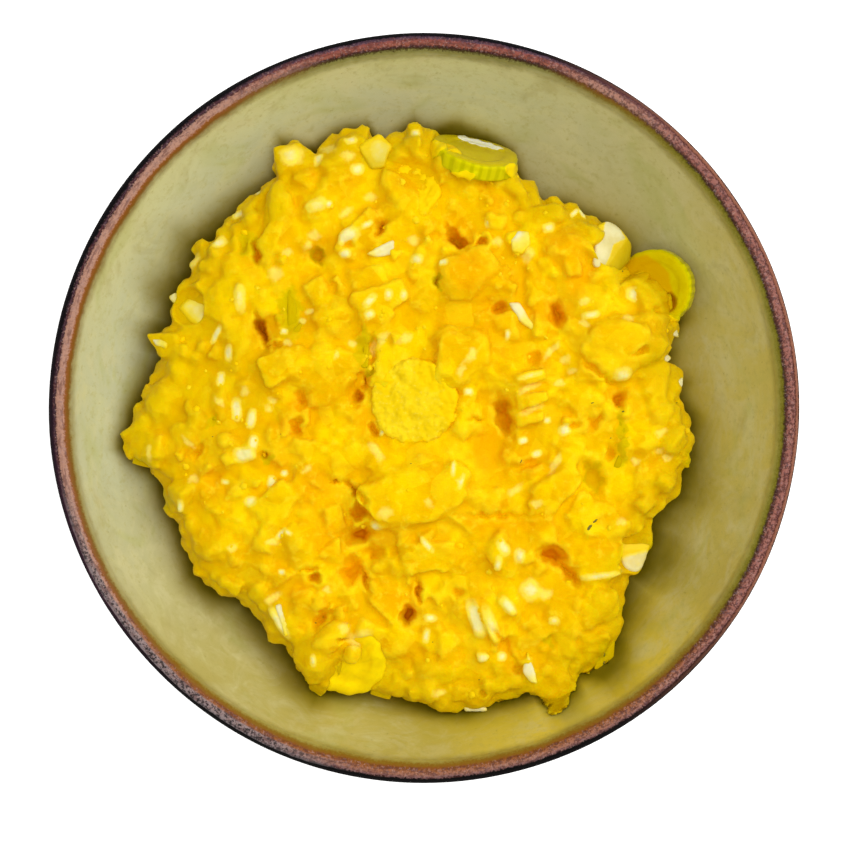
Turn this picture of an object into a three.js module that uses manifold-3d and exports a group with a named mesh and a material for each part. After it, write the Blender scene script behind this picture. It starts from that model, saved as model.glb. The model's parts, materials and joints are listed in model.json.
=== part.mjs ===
// A stoneware bowl of egg salad, in millimetres, +Z up.
// The origin is the middle of the foot, on the table. +X is the photograph's right and +Y its top edge.
import * as THREE from "three";
import { mergeVertices } from "three/addons/utils/BufferGeometryUtils.js";
import Module from "manifold-3d";

const wasm = await Module();
wasm.setup();

// Driving dimensions of the bowl
const bowlDiameter = 170;
const bowlHeight = 64;
const lipThickness = 5.4;
const floorHeight = 10;
const undersideHeight = 3;
const footDiameter = 74;
const footWidth = 6;
const wallMiddleHeight = 80;
const bowlSegments = 56;
const cavitySegments = 28;
const insideSteps = 9;

// Driving dimensions of the salad
const saladCentre = new THREE.Vector3(-0.8, -2.8, 43.5);
const saladRadius = 60;
const saladRise = 10.5;
const saladDepth = 36;
const saladShoulder = 2.8;
const saladDetail = 15;
const clumpCount = 230;
const gap = 0.3;
const cutGap = 0.35;

// Where the outline reaches out past the mean radius or falls back behind it:
// the way it faces in degrees from +X, how far it reaches, and how wide it is in degrees
const outlineLobes = [
  { name: "clump beside the right pickle", facing: 20, reach: 4.5, spread: 8 },
  { name: "dip behind the right pickle", facing: 40, reach: -4.5, spread: 9 },
  { name: "dip above the right side", facing: 60, reach: -4, spread: 7 },
  { name: "top edge", facing: 98, reach: 8, spread: 22 },
  { name: "upper left flank", facing: 145, reach: 3, spread: 14 },
  { name: "left point", facing: 185, reach: 8.5, spread: 7 },
  { name: "dip left of the lower flank", facing: 230, reach: -4.5, spread: 8 },
  { name: "lower left clump", facing: 249, reach: 6, spread: 8 },
  { name: "bottom edge", facing: 280, reach: 7, spread: 13 },
  { name: "lower right corner", facing: 304, reach: 9, spread: 9 },
  { name: "dip on the lower right", facing: 325, reach: -4, spread: 7 },
  { name: "right clump", facing: 350, reach: 2.5, spread: 10 },
  { name: "dip below the right clump", facing: 8, reach: -4, spread: 5 },
];

const stoneware = new THREE.MeshStandardMaterial({ color: 0xb3aa78, roughness: 0.35, metalness: 0 });
const dressedEgg = new THREE.MeshStandardMaterial({ color: 0xf4c301, roughness: 0.45, metalness: 0 });
const gherkin = new THREE.MeshStandardMaterial({ color: 0xb9bd10, roughness: 0.4, metalness: 0 });
const yolk = new THREE.MeshStandardMaterial({ color: 0xf0d21c, roughness: 0.8, metalness: 0 });
const eggWhite = new THREE.MeshStandardMaterial({ color: 0xf0ebc0, roughness: 0.4, metalness: 0 });

const radians = THREE.MathUtils.degToRad;

// A repeatable stream of numbers from 0 to 1
function randomStream(seed) {
  let state = seed;
  return () => {
    state = (state * 1664525 + 1013904223) % 4294967296;
    return state / 4294967296;
  };
}

// A closed geometry as a solid that can be cut
function solidOf(geometry, matrix = new THREE.Matrix4()) {
  const bare = geometry.clone().applyMatrix4(matrix);
  bare.deleteAttribute("normal");
  bare.deleteAttribute("uv");
  const merged = mergeVertices(bare, 1e-4);
  const mesh = new wasm.Mesh({
    numProp: 3,
    vertProperties: merged.attributes.position.array,
    triVerts: new Uint32Array(merged.index.array),
  });
  return new wasm.Manifold(mesh);
}

// A cut solid back as a geometry
function geometryOf(solid) {
  const cut = solid.getMesh();
  const geometry = new THREE.BufferGeometry();
  geometry.setAttribute("position", new THREE.BufferAttribute(cut.vertProperties, 3));
  geometry.setIndex(new THREE.BufferAttribute(cut.triVerts, 1));
  geometry.computeVertexNormals();
  return geometry;
}

// The main body of a cut solid, without any crumb that the cuts set free
function largestOf(solids) {
  return solids.reduce((most, solid) => (solid.volume() > most.volume() ? solid : most));
}

// Turns a lathe, whose axis is +Y, so that its axis is +Z
function upright(geometry) {
  return geometry.rotateX(Math.PI / 2);
}

// The wall's curve is part of an ellipse whose middle lies above the lip, so the wall still slopes where it ends.
// It has the top radius at the height of the lip's centre.
const lipRadius = lipThickness / 2;
const lipHeight = bowlHeight - lipRadius;

function wallRadius(height, topRadius, bottom) {
  const depth = wallMiddleHeight - bottom;
  const down = Math.min(1, (wallMiddleHeight - height) / depth);
  const downAtLip = (wallMiddleHeight - lipHeight) / depth;
  return topRadius * Math.sqrt((1 - down ** 2) / (1 - downAtLip ** 2));
}

function heightWhereRadiusIs(radius, topRadius, bottom) {
  const depth = wallMiddleHeight - bottom;
  const downAtLip = (wallMiddleHeight - lipHeight) / depth;
  const down = Math.sqrt(1 - (radius / topRadius) ** 2 * (1 - downAtLip ** 2));
  return wallMiddleHeight - depth * down;
}

// The wall's points, closer together where it curves most, from its bottom to the lip
function wallPoints(topRadius, bottom, lowestHeight, count) {
  const points = [];
  for (let i = 0; i <= count; i++) {
    const share = 1 - Math.pow(1 - i / count, 1.6);
    const height = lowestHeight + (lipHeight - lowestHeight) * share;
    points.push(new THREE.Vector2(wallRadius(height, topRadius, bottom), height));
  }
  return points;
}

// The bowl: a foot ring with a recessed underside, a curved wall and a round lip
function bowlGeometry() {
  const outside = bowlDiameter / 2;
  const inside = outside - lipThickness;
  const foot = footDiameter / 2;
  const footTop = heightWhereRadiusIs(foot, outside, undersideHeight);
  const footChamfer = 0.8;
  const profile = [
    new THREE.Vector2(0, undersideHeight),
    new THREE.Vector2(foot - footWidth - 1, undersideHeight),
    new THREE.Vector2(foot - footWidth, footChamfer),
    new THREE.Vector2(foot - footWidth + footChamfer, 0),
    new THREE.Vector2(foot - footChamfer - 1, 0),
    new THREE.Vector2(foot - 1, footChamfer),
  ];
  profile.push(...wallPoints(outside, undersideHeight, footTop, 8));
  const lipSteps = 6;
  for (let i = 1; i < lipSteps; i++) {
    const turn = (Math.PI * i) / lipSteps;
    const radius = outside - lipRadius + lipRadius * Math.cos(turn);
    profile.push(new THREE.Vector2(radius, lipHeight + lipRadius * Math.sin(turn)));
  }
  profile.push(...wallPoints(inside, floorHeight, floorHeight, insideSteps).reverse());
  return upright(new THREE.LatheGeometry(profile, bowlSegments));
}

// The room inside the bowl, a gap clear of its wall
function cavitySolid() {
  const inside = bowlDiameter / 2 - lipThickness - cutGap;
  const profile = [new THREE.Vector2(0, bowlHeight), new THREE.Vector2(inside, bowlHeight)];
  const bottom = floorHeight + cutGap;
  profile.push(...wallPoints(inside, bottom, bottom, insideSteps).reverse());
  return solidOf(upright(new THREE.LatheGeometry(profile.reverse(), cavitySegments)));
}

// How far the salad's edge is from its centre, facing each way
function outlineRadius(facing) {
  let radius = saladRadius;
  for (const lobe of outlineLobes) {
    const away = THREE.MathUtils.euclideanModulo(facing - lobe.facing + 180, 360) - 180;
    radius += lobe.reach * Math.exp(-((away / lobe.spread) ** 2));
  }
  return radius;
}

// The salad's clumps: round swellings and hollows scattered over the top and the edge
function scatterClumps() {
  const next = randomStream(31);
  const clumps = [];
  for (let i = 0; i < clumpCount; i++) {
    const facing = 360 * next();
    const out = Math.sqrt(next()) * 1.02;
    const distance = outlineRadius(facing) * out;
    const lift = Math.pow(Math.max(0, 1 - out ** saladShoulder), 1 / saladShoulder) * saladRise;
    clumps.push({
      at: new THREE.Vector3(
        saladCentre.x + distance * Math.cos(radians(facing)),
        saladCentre.y + distance * Math.sin(radians(facing)),
        saladCentre.z + lift - 6 * next() * out,
      ),
      size: 3.4 + 2.2 * next(),
      height: i % 3 === 2 ? -2.4 : 1.5 + 1.5 * next(),
    });
  }
  return clumps;
}

// The heap: a flattened round body with an uneven outline and lumpy skin, cut to the bowl and to what lies in it
function saladGeometry(pieces) {
  const ball = new THREE.IcosahedronGeometry(1, saladDetail);
  ball.deleteAttribute("normal");
  ball.deleteAttribute("uv");
  const geometry = mergeVertices(ball, 1e-5);
  const position = geometry.attributes.position;
  const clumps = scatterClumps();
  const point = new THREE.Vector3();
  const outward = new THREE.Vector3();
  const inner = saladCentre.clone().setZ(saladCentre.z - 25);
  for (let i = 0; i < position.count; i++) {
    point.fromBufferAttribute(position, i);
    const along = Math.atan2(point.y, point.x);
    const fromPole = Math.acos(Math.min(1, Math.abs(point.z))) / (Math.PI / 2);
    const out = fromPole * (1.35 - 0.35 * fromPole ** 2);
    const reach = out * outlineRadius(THREE.MathUtils.radToDeg(along));
    const height = Math.pow(Math.max(0, 1 - out ** saladShoulder), 1 / saladShoulder);
    const rise = point.z > 0 ? saladRise : -saladDepth;
    point.set(
      saladCentre.x + reach * Math.cos(along),
      saladCentre.y + reach * Math.sin(along),
      saladCentre.z + rise * height,
    );
    let swell = 0;
    for (const clump of clumps) {
      swell += clump.height * Math.exp(-point.distanceToSquared(clump.at) / clump.size ** 2);
    }
    outward.copy(point).sub(inner).normalize();
    point.addScaledVector(outward, THREE.MathUtils.clamp(swell, -2.8, 2.6));
    position.setXYZ(i, point.x, point.y, point.z);
  }
  let solid = solidOf(geometry).intersect(cavitySolid());
  for (const piece of pieces) {
    piece.updateMatrixWorld(true);
    solid = solid.subtract(solidOf(piece.userData.room, piece.matrixWorld));
  }
  return geometryOf(largestOf(solid.decompose()));
}

// A flat piece of food with a round edge: its outline is a radius for each angle
function slabGeometry(outline, thickness, edge, corners, grow = 0) {
  const points = [];
  for (let i = 0; i < corners; i++) {
    const angle = (2 * Math.PI * i) / corners;
    const radius = outline(angle) - edge + grow;
    points.push(new THREE.Vector2(radius * Math.cos(angle), radius * Math.sin(angle)));
  }
  const geometry = new THREE.ExtrudeGeometry(new THREE.Shape(points), {
    depth: thickness - 2 * edge + 2 * grow,
    bevelThickness: edge,
    bevelSize: edge,
    bevelSegments: 1,
    curveSegments: 1,
  });
  return geometry.translate(0, 0, edge - thickness / 2 - grow);
}

// A piece that lies in the salad. Its face leans towards a compass way, and it is turned on its own axis.
function foodPiece(name, material, shape, place) {
  const piece = new THREE.Mesh(slabGeometry(shape.outline, shape.thickness, shape.edge, shape.corners), material);
  piece.name = name;
  piece.userData.room = slabGeometry(shape.outline, shape.thickness, shape.edge, shape.corners, gap);
  const towards = radians(place.towards);
  const leanAxis = new THREE.Vector3(-Math.sin(towards), Math.cos(towards), 0);
  const turn = new THREE.Quaternion().setFromAxisAngle(new THREE.Vector3(0, 0, 1), radians(place.turn));
  piece.quaternion.setFromAxisAngle(leanAxis, radians(place.lean)).multiply(turn);
  piece.position.set(place.x, place.y, place.z);
  return piece;
}

// A gherkin slice has a crinkled rind: shallow scallops all round
function pickleShape(radius, thickness) {
  const scallops = 15;
  const outline = (angle) => radius - 0.5 * (1 - Math.abs(Math.cos((scallops * angle) / 2)));
  return { outline, thickness, edge: 0.5, corners: scallops * 2 };
}

// A yolk round is nearly circular, with a soft uneven edge
function yolkShape(radius, thickness) {
  const outline = (angle) => radius * (1 + 0.035 * Math.sin(2 * angle + 1) + 0.025 * Math.sin(5 * angle));
  return { outline, thickness, edge: 1, corners: 24 };
}

// A cut of egg white has straight sides: a rectangle's radius with its corners drawn in
function whiteShape(length, width, thickness) {
  const outline = (angle) => {
    const across = Math.abs(Math.cos(angle)) / (length / 2);
    const along = Math.abs(Math.sin(angle)) / (width / 2);
    return 1 / Math.pow(across ** 5 + along ** 5, 1 / 5);
  };
  return { outline, thickness, edge: 0.8, corners: 16 };
}

function picklePieces() {
  return [
    foodPiece("pickle_slice_top", gherkin, pickleShape(10.3, 4.4), {
      x: 11.6, y: 58.8, z: 47.4, lean: 64, towards: 76, turn: 0,
    }),
    foodPiece("pickle_slice_right", gherkin, pickleShape(9.2, 4.2), {
      x: 54.6, y: 28.6, z: 44.5, lean: 26, towards: 195, turn: 8,
    }),
    foodPiece("pickle_slice_lower_left", gherkin, pickleShape(8.8, 4), {
      x: -17.8, y: -58.2, z: 48.5, lean: 20, towards: 262, turn: 4,
    }),
  ];
}

function yolkPieces() {
  return [
    foodPiece("yolk_slice_middle", yolk, yolkShape(10.2, 5), {
      x: -2, y: 1.4, z: 53, lean: 6, towards: 230, turn: 0,
    }),
    foodPiece("yolk_slice_top", yolk, yolkShape(7.4, 4), {
      x: -3, y: 50.2, z: 50.2, lean: 20, towards: 120, turn: 40,
    }),
  ];
}

function whitePieces() {
  return [
    foodPiece("egg_white_right", eggWhite, whiteShape(12.5, 8.6, 6), {
      x: 43.4, y: 37.8, z: 47, lean: 22, towards: 40, turn: 62,
    }),
    foodPiece("egg_white_lower_right", eggWhite, whiteShape(14, 9, 5), {
      x: 49.4, y: -31.4, z: 45, lean: 16, towards: 320, turn: 80,
    }),
    foodPiece("egg_white_upper_left", eggWhite, whiteShape(9, 7.4, 5), {
      x: -11.4, y: 60, z: 48.5, lean: 14, towards: 100, turn: 60,
    }),
    foodPiece("egg_white_left", eggWhite, whiteShape(9.5, 7, 4.6), {
      x: -53.8, y: 23.4, z: 47, lean: 22, towards: 165, turn: 50,
    }),
  ];
}

const bowlOfEggSalad = new THREE.Group();

const bowl = new THREE.Mesh(bowlGeometry(), stoneware);
bowl.name = "bowl";

const pieces = [...picklePieces(), ...yolkPieces(), ...whitePieces()];
const salad = new THREE.Mesh(saladGeometry(pieces), dressedEgg);
salad.name = "egg_salad";

bowlOfEggSalad.add(bowl, salad, ...pieces);

export default bowlOfEggSalad;
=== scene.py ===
# %% [markdown]
# # A bowl of egg salad
# The dish is a round stoneware bowl with a reactive glaze, and in it lies a loose heap of chopped
# boiled egg in a thick yellow dressing. Slices of gherkin, rounds of yolk and cuts of egg white
# show at its top and its edge. The measured model already fixes where each of these is. This
# script gives every one of them its true surface and colour, and then lights them softly.

# %% Load the measured model
import json
import math
import random
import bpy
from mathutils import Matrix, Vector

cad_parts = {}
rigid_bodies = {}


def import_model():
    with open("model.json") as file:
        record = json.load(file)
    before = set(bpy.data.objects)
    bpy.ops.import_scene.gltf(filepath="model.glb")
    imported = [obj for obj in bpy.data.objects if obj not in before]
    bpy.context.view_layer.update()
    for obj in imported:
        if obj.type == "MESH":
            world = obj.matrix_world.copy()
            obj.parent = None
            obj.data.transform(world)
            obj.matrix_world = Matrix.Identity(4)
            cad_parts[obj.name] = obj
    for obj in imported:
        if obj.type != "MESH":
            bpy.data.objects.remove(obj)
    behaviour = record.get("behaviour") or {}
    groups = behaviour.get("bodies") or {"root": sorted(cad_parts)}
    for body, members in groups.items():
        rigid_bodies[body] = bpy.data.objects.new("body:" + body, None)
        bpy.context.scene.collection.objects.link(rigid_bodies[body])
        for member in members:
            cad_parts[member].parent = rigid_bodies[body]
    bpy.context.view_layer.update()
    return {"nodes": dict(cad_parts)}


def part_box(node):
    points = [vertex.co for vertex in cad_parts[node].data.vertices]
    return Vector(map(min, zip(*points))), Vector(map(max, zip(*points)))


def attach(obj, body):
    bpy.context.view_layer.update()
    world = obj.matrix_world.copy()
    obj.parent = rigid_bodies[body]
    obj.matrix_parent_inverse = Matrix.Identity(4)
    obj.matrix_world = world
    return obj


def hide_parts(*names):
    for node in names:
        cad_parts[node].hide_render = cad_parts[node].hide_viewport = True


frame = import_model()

from types import SimpleNamespace

import bpy
import numpy as np
from mathutils import Matrix, Vector

MM = 0.001
print("nodes in the measured model:", sorted(frame["nodes"]))

# %% [markdown]
# ## Camera
# The dish is seen from straight above. The picture is square, and at the height of the rim one
# millimetre covers a little more than four of its pixels. The middle of the picture is a few
# millimetres nearer to the bowl's front than the middle of the bowl is.

# %% Camera above the rim
PICTURE_SIDE = 850
PIXELS_PER_MM = 4.42
RIM_HEIGHT = 61.3
CAMERA_OVER_RIM = 420
CAMERA_X = 0.2
CAMERA_Y = -3.9

seen_width = PICTURE_SIDE / PIXELS_PER_MM
bpy.ops.object.select_all(action="DESELECT")
bpy.ops.object.camera_add(
    location=(CAMERA_X * MM, CAMERA_Y * MM, (RIM_HEIGHT + CAMERA_OVER_RIM) * MM),
    rotation=(0, 0, 0),
)
camera = bpy.context.object
camera.data.sensor_fit = "HORIZONTAL"
camera.data.angle = 2 * math.atan(seen_width / 2 / CAMERA_OVER_RIM)
camera.data.clip_start = 0.01
bpy.context.scene.camera = camera
print("the camera sees", round(seen_width, 1), "mm at the rim")

# %% [markdown]
# ## Light
# The light is soft and nearly even, as by a large window. Most of it comes from above, and a
# paler part comes from the right, which brightens the left side of the bowl's inside and lays
# the heap's shadow to its left. The standard view keeps the yellow as strong as it is.

# %% Window light and room light
def area_light(name, place, aim, width, watts, colour):
    """A square soft light at a place in metres, turned towards a point."""
    direction = Vector(aim) - Vector(place)
    bpy.ops.object.light_add(type="AREA", location=place)
    light = bpy.context.object
    light.name = name
    light.rotation_euler = direction.to_track_quat("-Z", "Y").to_euler()
    light.data.size = width
    light.data.energy = watts
    light.data.color = colour


FOOD_MIDDLE = (0, 0, 0.04)
DAYLIGHT = (1.0, 1.0, 0.98)
ROOM_COLOUR = (1.0, 1.0, 0.99, 1)
ROOM_STRENGTH = 0.5

area_light("window", (0.8, 0.5, 0.8), FOOD_MIDDLE, 0.8, 5.2, DAYLIGHT)
area_light("ceiling", (0.12, 0.02, 1.3), FOOD_MIDDLE, 1.1, 8.6, DAYLIGHT)

world = bpy.data.worlds.new("room")
world.use_nodes = True
background = world.node_tree.nodes["Background"]
background.inputs["Color"].default_value = ROOM_COLOUR
background.inputs["Strength"].default_value = ROOM_STRENGTH
bpy.context.scene.world = world
bpy.context.scene.view_settings.view_transform = "Standard"

# %% [markdown]
# ## A way to write finishes
# A finish is a small net of shader nodes. Written as sums and products it is much easier to
# read, so one class wraps a socket and turns arithmetic into Math nodes, and a second one
# holds the material and adds every other kind of node by a single method.

# %% Sockets that can be added and multiplied
class Wire:
    """An output socket of a material, on which arithmetic adds Math nodes."""

    def __init__(self, paint, socket):
        self.paint = paint
        self.socket = socket

    def __add__(self, other):
        return self.paint.maths("ADD", self, other)

    def __sub__(self, other):
        return self.paint.maths("SUBTRACT", self, other)

    def __rsub__(self, other):
        return self.paint.maths("SUBTRACT", other, self)

    def __mul__(self, other):
        return self.paint.maths("MULTIPLY", self, other)

    def __truediv__(self, other):
        return self.paint.maths("DIVIDE", self, other)

    __radd__ = __add__
    __rmul__ = __mul__

    def part(self, axis):
        """One of the three numbers of a place or a colour."""
        return self.paint.add("ShaderNodeSeparateXYZ", None, {0: self}, out=axis)

    def step(self, low, high):
        """0 below low and 1 above high, with a smooth rise between them."""
        return self.paint.add(
            "ShaderNodeMapRange",
            {"interpolation_type": "SMOOTHSTEP"},
            {"Value": self, "From Min": low, "From Max": high},
        )


# %% A material that grows node by node
class Net:
    """A material with a principled shader. Its constants are set on the shader's own sockets."""

    def __init__(self, name, **constants):
        self.material = bpy.data.materials.new(name)
        self.material.use_nodes = True
        self.tree = self.material.node_tree
        self.shader = self.tree.nodes["Principled BSDF"]
        for socket, value in constants.items():
            self.shader.inputs[socket.replace("_", " ")].default_value = value

    def add(self, kind, settings=None, sockets=None, out=0):
        """Adds a node, sets it first and then plugs its sockets, and returns one of its outputs."""
        node = self.tree.nodes.new(kind)
        for key, value in (settings or {}).items():
            if key == "stops":
                ramp = node.color_ramp
                for place, colour in value[2:]:
                    ramp.elements.new(place)
                for element, (place, colour) in zip(ramp.elements, value):
                    element.position = place
                    element.color = colour
            else:
                setattr(node, key, value)
        for key, value in (sockets or {}).items():
            self.plug(value, node.inputs[key])
        return Wire(self, node.outputs[out])

    def plug(self, value, socket):
        """Leads a wire to a socket, or sets the socket to a plain value."""
        if isinstance(value, Wire):
            self.tree.links.new(value.socket, socket)
        else:
            socket.default_value = value

    def maths(self, operation, first, second=0.0):
        """One step of arithmetic."""
        return self.add("ShaderNodeMath", {"operation": operation}, {0: first, 1: second})

    def mix(self, share, first, second):
        """A colour that goes from the first to the second as share goes from 0 to 1."""
        return self.add(
            "ShaderNodeMix", {"data_type": "RGBA"}, {0: share, 6: first, 7: second}, out=2
        )

    def layers(self, colour, *coats):
        """Lays colours over a first one in turn. Each coat is its share and its colour."""
        for share, coat in coats:
            colour = self.mix(share, colour, coat)
        return colour

    def ramp(self, share, stops):
        """A colour that runs through the stops as share goes from 0 to 1."""
        return self.add("ShaderNodeValToRGB", {"stops": stops}, {0: share})


# %% Patterns that the finishes are painted with
class Paint(Net):
    """A net with this dish's patterns. All their sizes are in millimetres."""

    def place(self):
        """Where a point lies, in metres."""
        return self.add("ShaderNodeTexCoord", out="Object")

    def attribute(self, name):
        """A number that was stored on the piece's points."""
        return self.add("ShaderNodeAttribute", {"attribute_name": name}, out="Fac")

    def noise(self, size, detail=2.0, roughness=0.5, distortion=0.0, shift=None):
        """Soft noise whose grain is about size millimetres across."""
        sockets = {
            "Vector": shift or self.place(),
            "Scale": 1 / (size * MM),
            "Detail": detail,
            "Roughness": roughness,
            "Distortion": distortion,
        }
        return self.add("ShaderNodeTexNoise", None, sockets)

    def cells(self, size, out):
        """Uneven cells about size millimetres across: a colour for each, or distances in them."""
        sockets = {"Vector": self.place(), "Scale": 1 / (size * MM)}
        return self.add("ShaderNodeTexVoronoi", {"feature": "F1"}, sockets, out=out)

    def bump(self, height, depth, normal=None):
        """Relief of a given depth in millimetres, on top of another relief if there is one."""
        sockets = {"Height": height, "Distance": depth * MM, "Strength": 1.0}
        if normal:
            sockets["Normal"] = normal
        return self.add("ShaderNodeBump", None, sockets)

    def finish(self, colour, roughness=None, normal=None):
        """Plugs what varies over the surface into the shader and returns the material."""
        self.plug(colour, self.shader.inputs["Base Color"])
        if roughness:
            self.plug(roughness, self.shader.inputs["Roughness"])
        if normal:
            self.plug(normal, self.shader.inputs["Normal"])
        return self.material


# %% Screen colours
def linear(value):
    """A screen value, 0 to 255, as the amount of light it stands for."""
    share = value / 255
    return share / 12.92 if share <= 0.04045 else ((share + 0.055) / 1.055) ** 2.4


def rgb(red, green, blue):
    """A screen colour as the linear colour that shaders use."""
    return (linear(red), linear(green), linear(blue), 1.0)


# %% [markdown]
# ## Floor
# The dish stands on a plain pale table. It is only a stage, so it is one flat sheet, large
# enough that its end isn't seen from above, with a very faint unevenness in its tone. A weak
# glow keeps the shadow on it light.

# %% Pale floor
FLOOR_GLOW = 0.6
FLOOR_SIDE = 60

bpy.ops.object.select_all(action="DESELECT")
bpy.ops.mesh.primitive_plane_add(size=FLOOR_SIDE, location=(0, 0, 0))
floor = bpy.context.object
floor.name = "floor"
floor_paint = Paint(
    "floor_paint", Roughness=0.9, Specular_IOR_Level=0.1,
    Emission_Color=(1, 1, 1, 1), Emission_Strength=FLOOR_GLOW,
)
floor_tone = floor_paint.mix(floor_paint.noise(60), rgb(251, 250, 249), rgb(254, 254, 253))
floor.data.materials.append(floor_paint.finish(colour=floor_tone))

# %% [markdown]
# ## Small helpers for modelling
# Operators act on whatever is selected, so each step first selects exactly one thing. The
# helpers here do that, apply a modifier, and lay a finished piece down at its place.

# %% Selection, modifiers and names
def only(piece):
    """Selects one object and makes it the active one."""
    bpy.ops.object.select_all(action="DESELECT")
    piece.select_set(True)
    bpy.context.view_layer.objects.active = piece


def modify(piece, kind, **settings):
    """Adds a modifier, sets it and applies it."""
    only(piece)
    modifier = piece.modifiers.new(kind.lower(), kind)
    for key, value in settings.items():
        setattr(modifier, key, value)
    bpy.ops.object.modifier_apply(modifier=modifier.name)


def settle(piece, name):
    """Names a piece and puts its place, turn and size into its mesh."""
    only(piece)
    piece.name = name
    piece.data.name = name
    bpy.ops.object.transform_apply(location=True, rotation=True, scale=True)
    bpy.ops.object.shade_smooth()


def start(name, add, **settings):
    """Adds a primitive by itself, as the named beginning of a piece."""
    bpy.ops.object.select_all(action="DESELECT")
    add(**settings)
    piece = bpy.context.object
    settle(piece, name)
    return piece


# %% Points of a mesh, and numbers on them
def rows_of(piece, key):
    """What a mesh keeps under a key, as three numbers for each of its points."""
    flat = np.empty(len(piece.data.vertices) * 3, dtype=np.float32)
    piece.data.vertices.foreach_get(key, flat)
    return flat.reshape(-1, 3).astype(float)


def points_of(piece):
    """The points of a mesh in millimetres, as rows of x, y, z."""
    return rows_of(piece, "co") / MM


def normals_of(piece):
    """The direction that the surface faces at each point."""
    return rows_of(piece, "normal")


def move_points(piece, points):
    """Moves the points of a mesh to new places, given in millimetres."""
    piece.data.vertices.foreach_set("co", (points * MM).astype(np.float32).ravel())
    piece.data.update()


def store(piece, name, values):
    """Keeps a number for each point of a mesh, or one for all, for the material to read."""
    layer = piece.data.attributes.get(name) or piece.data.attributes.new(name, "FLOAT", "POINT")
    numbers = np.full(len(piece.data.vertices), values, dtype=np.float32)
    layer.data.foreach_set("value", numbers)


def triangles_of(piece):
    """How many triangles a piece has."""
    piece.data.calc_loop_triangles()
    return len(piece.data.loop_triangles)


# %% Unevenness that is pushed into a mesh
def roughen(piece, name, grain, strength, detail=1, middle=0.5):
    """Pushes points in and out by clouds of noise. Grain and strength are in millimetres."""
    texture = bpy.data.textures.new(name, "CLOUDS")
    texture.noise_scale = grain * MM
    texture.noise_depth = detail
    modify(
        piece, "DISPLACE",
        texture=texture, texture_coords="LOCAL", strength=strength * MM, mid_level=middle,
    )


# %% [markdown]
# ## Bowl
# The bowl was thrown on a wheel: a half ellipse inside, a slightly fatter one outside, a fully
# rounded lip and a low foot ring. It could be spun from a profile, but drawing one circle and
# extruding it ring by ring gives the same even rows of faces and needs no cleaning afterwards.

# %% Walls of the bowl as formulas
LIP_MIDDLE = 82.3
LIP_RADIUS = 2.7
INSIDE_RADIUS = 79.6
OUTSIDE_RADIUS = 85.0
FLOOR_HEIGHT = 10
UNDERSIDE_HEIGHT = 3
WALL_MIDDLE_HEIGHT = 80
FOOT_RADIUS = 37.0
POLE_RADIUS = 1.5
INSIDE_ROWS = 26
LIP_ROWS = 11
OUTSIDE_ROWS = 18
FOOT_ROWS = [
    (36.5, 8.0), (36.2, 6.0), (36.1, 3.0), (36.0, 1.0), (35.7, 0.4), (35.2, 0.0),
    (33.5, 0.0), (31.8, 0.0), (31.3, 0.4), (31.0, 1.0), (30.8, 2.4), (30.2, 3.0),
    (24.0, 3.0), (14.0, 3.0), (POLE_RADIUS, 3.0),
]


def ellipse_radius(height, top_radius, bottom):
    """Radius of a wall that is part of an ellipse whose middle lies above the rim."""
    depth = WALL_MIDDLE_HEIGHT - bottom
    at_rim = (WALL_MIDDLE_HEIGHT - RIM_HEIGHT) / depth
    share = np.clip((WALL_MIDDLE_HEIGHT - height) / depth, 0, 1)
    return top_radius * np.sqrt((1 - share ** 2) / (1 - at_rim ** 2))


def ellipse_height(radius, top_radius, bottom):
    """Height at which such a wall has a given radius."""
    depth = WALL_MIDDLE_HEIGHT - bottom
    at_rim = (WALL_MIDDLE_HEIGHT - RIM_HEIGHT) / depth
    share = np.clip(radius / top_radius, 0, 1) ** 2 * (1 - at_rim ** 2)
    return WALL_MIDDLE_HEIGHT - depth * np.sqrt(1 - share)


def wall_height(radius):
    """Height of the bowl's inside at a radius, in millimetres."""
    return ellipse_height(radius, INSIDE_RADIUS, FLOOR_HEIGHT)


# %% Half section of the bowl
def bowl_profile():
    """Radius and height of each row, from the middle of the inside to that of the underside."""
    rows = []
    for turn in np.linspace(0.02, 1, INSIDE_ROWS):
        radius = INSIDE_RADIUS * math.sin(turn * math.pi / 2)
        rows.append((radius, wall_height(radius)))
    for angle in np.linspace(math.pi, 0, LIP_ROWS)[1:]:
        radius = LIP_MIDDLE + LIP_RADIUS * math.cos(angle)
        rows.append((radius, RIM_HEIGHT + LIP_RADIUS * math.sin(angle)))
    foot_top = ellipse_height(FOOT_RADIUS, OUTSIDE_RADIUS, UNDERSIDE_HEIGHT)
    for share in np.linspace(0, 1, OUTSIDE_ROWS)[1:]:
        height = RIM_HEIGHT + (foot_top - RIM_HEIGHT) * share
        rows.append((ellipse_radius(height, OUTSIDE_RADIUS, UNDERSIDE_HEIGHT), height))
    return rows + FOOT_ROWS


# %% Extrude the bowl ring by ring
SIDES = 96


def extrude_profile(rows, sides):
    """Draws a filled circle for the first row and extrudes it through all the others."""
    radius, height = rows[0]
    piece = start(
        "ring", bpy.ops.mesh.primitive_circle_add,
        vertices=sides, radius=radius * MM, fill_type="NGON", location=(0, 0, height * MM),
    )
    bpy.ops.object.mode_set(mode="EDIT")
    bpy.ops.mesh.select_all(action="SELECT")
    for next_radius, next_height in rows[1:]:
        rise = (0, 0, (next_height - height) * MM)
        bpy.ops.mesh.extrude_region_move(TRANSFORM_OT_translate={"value": rise})
        widen = next_radius / radius
        middle = (0, 0, next_height * MM)
        bpy.ops.transform.resize(value=(widen, widen, 1), center_override=middle)
        radius, height = next_radius, next_height
    bpy.ops.mesh.select_all(action="SELECT")
    bpy.ops.mesh.normals_make_consistent(inside=False)
    bpy.ops.object.mode_set(mode="OBJECT")
    return piece


bowl = extrude_profile(bowl_profile(), SIDES)

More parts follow.
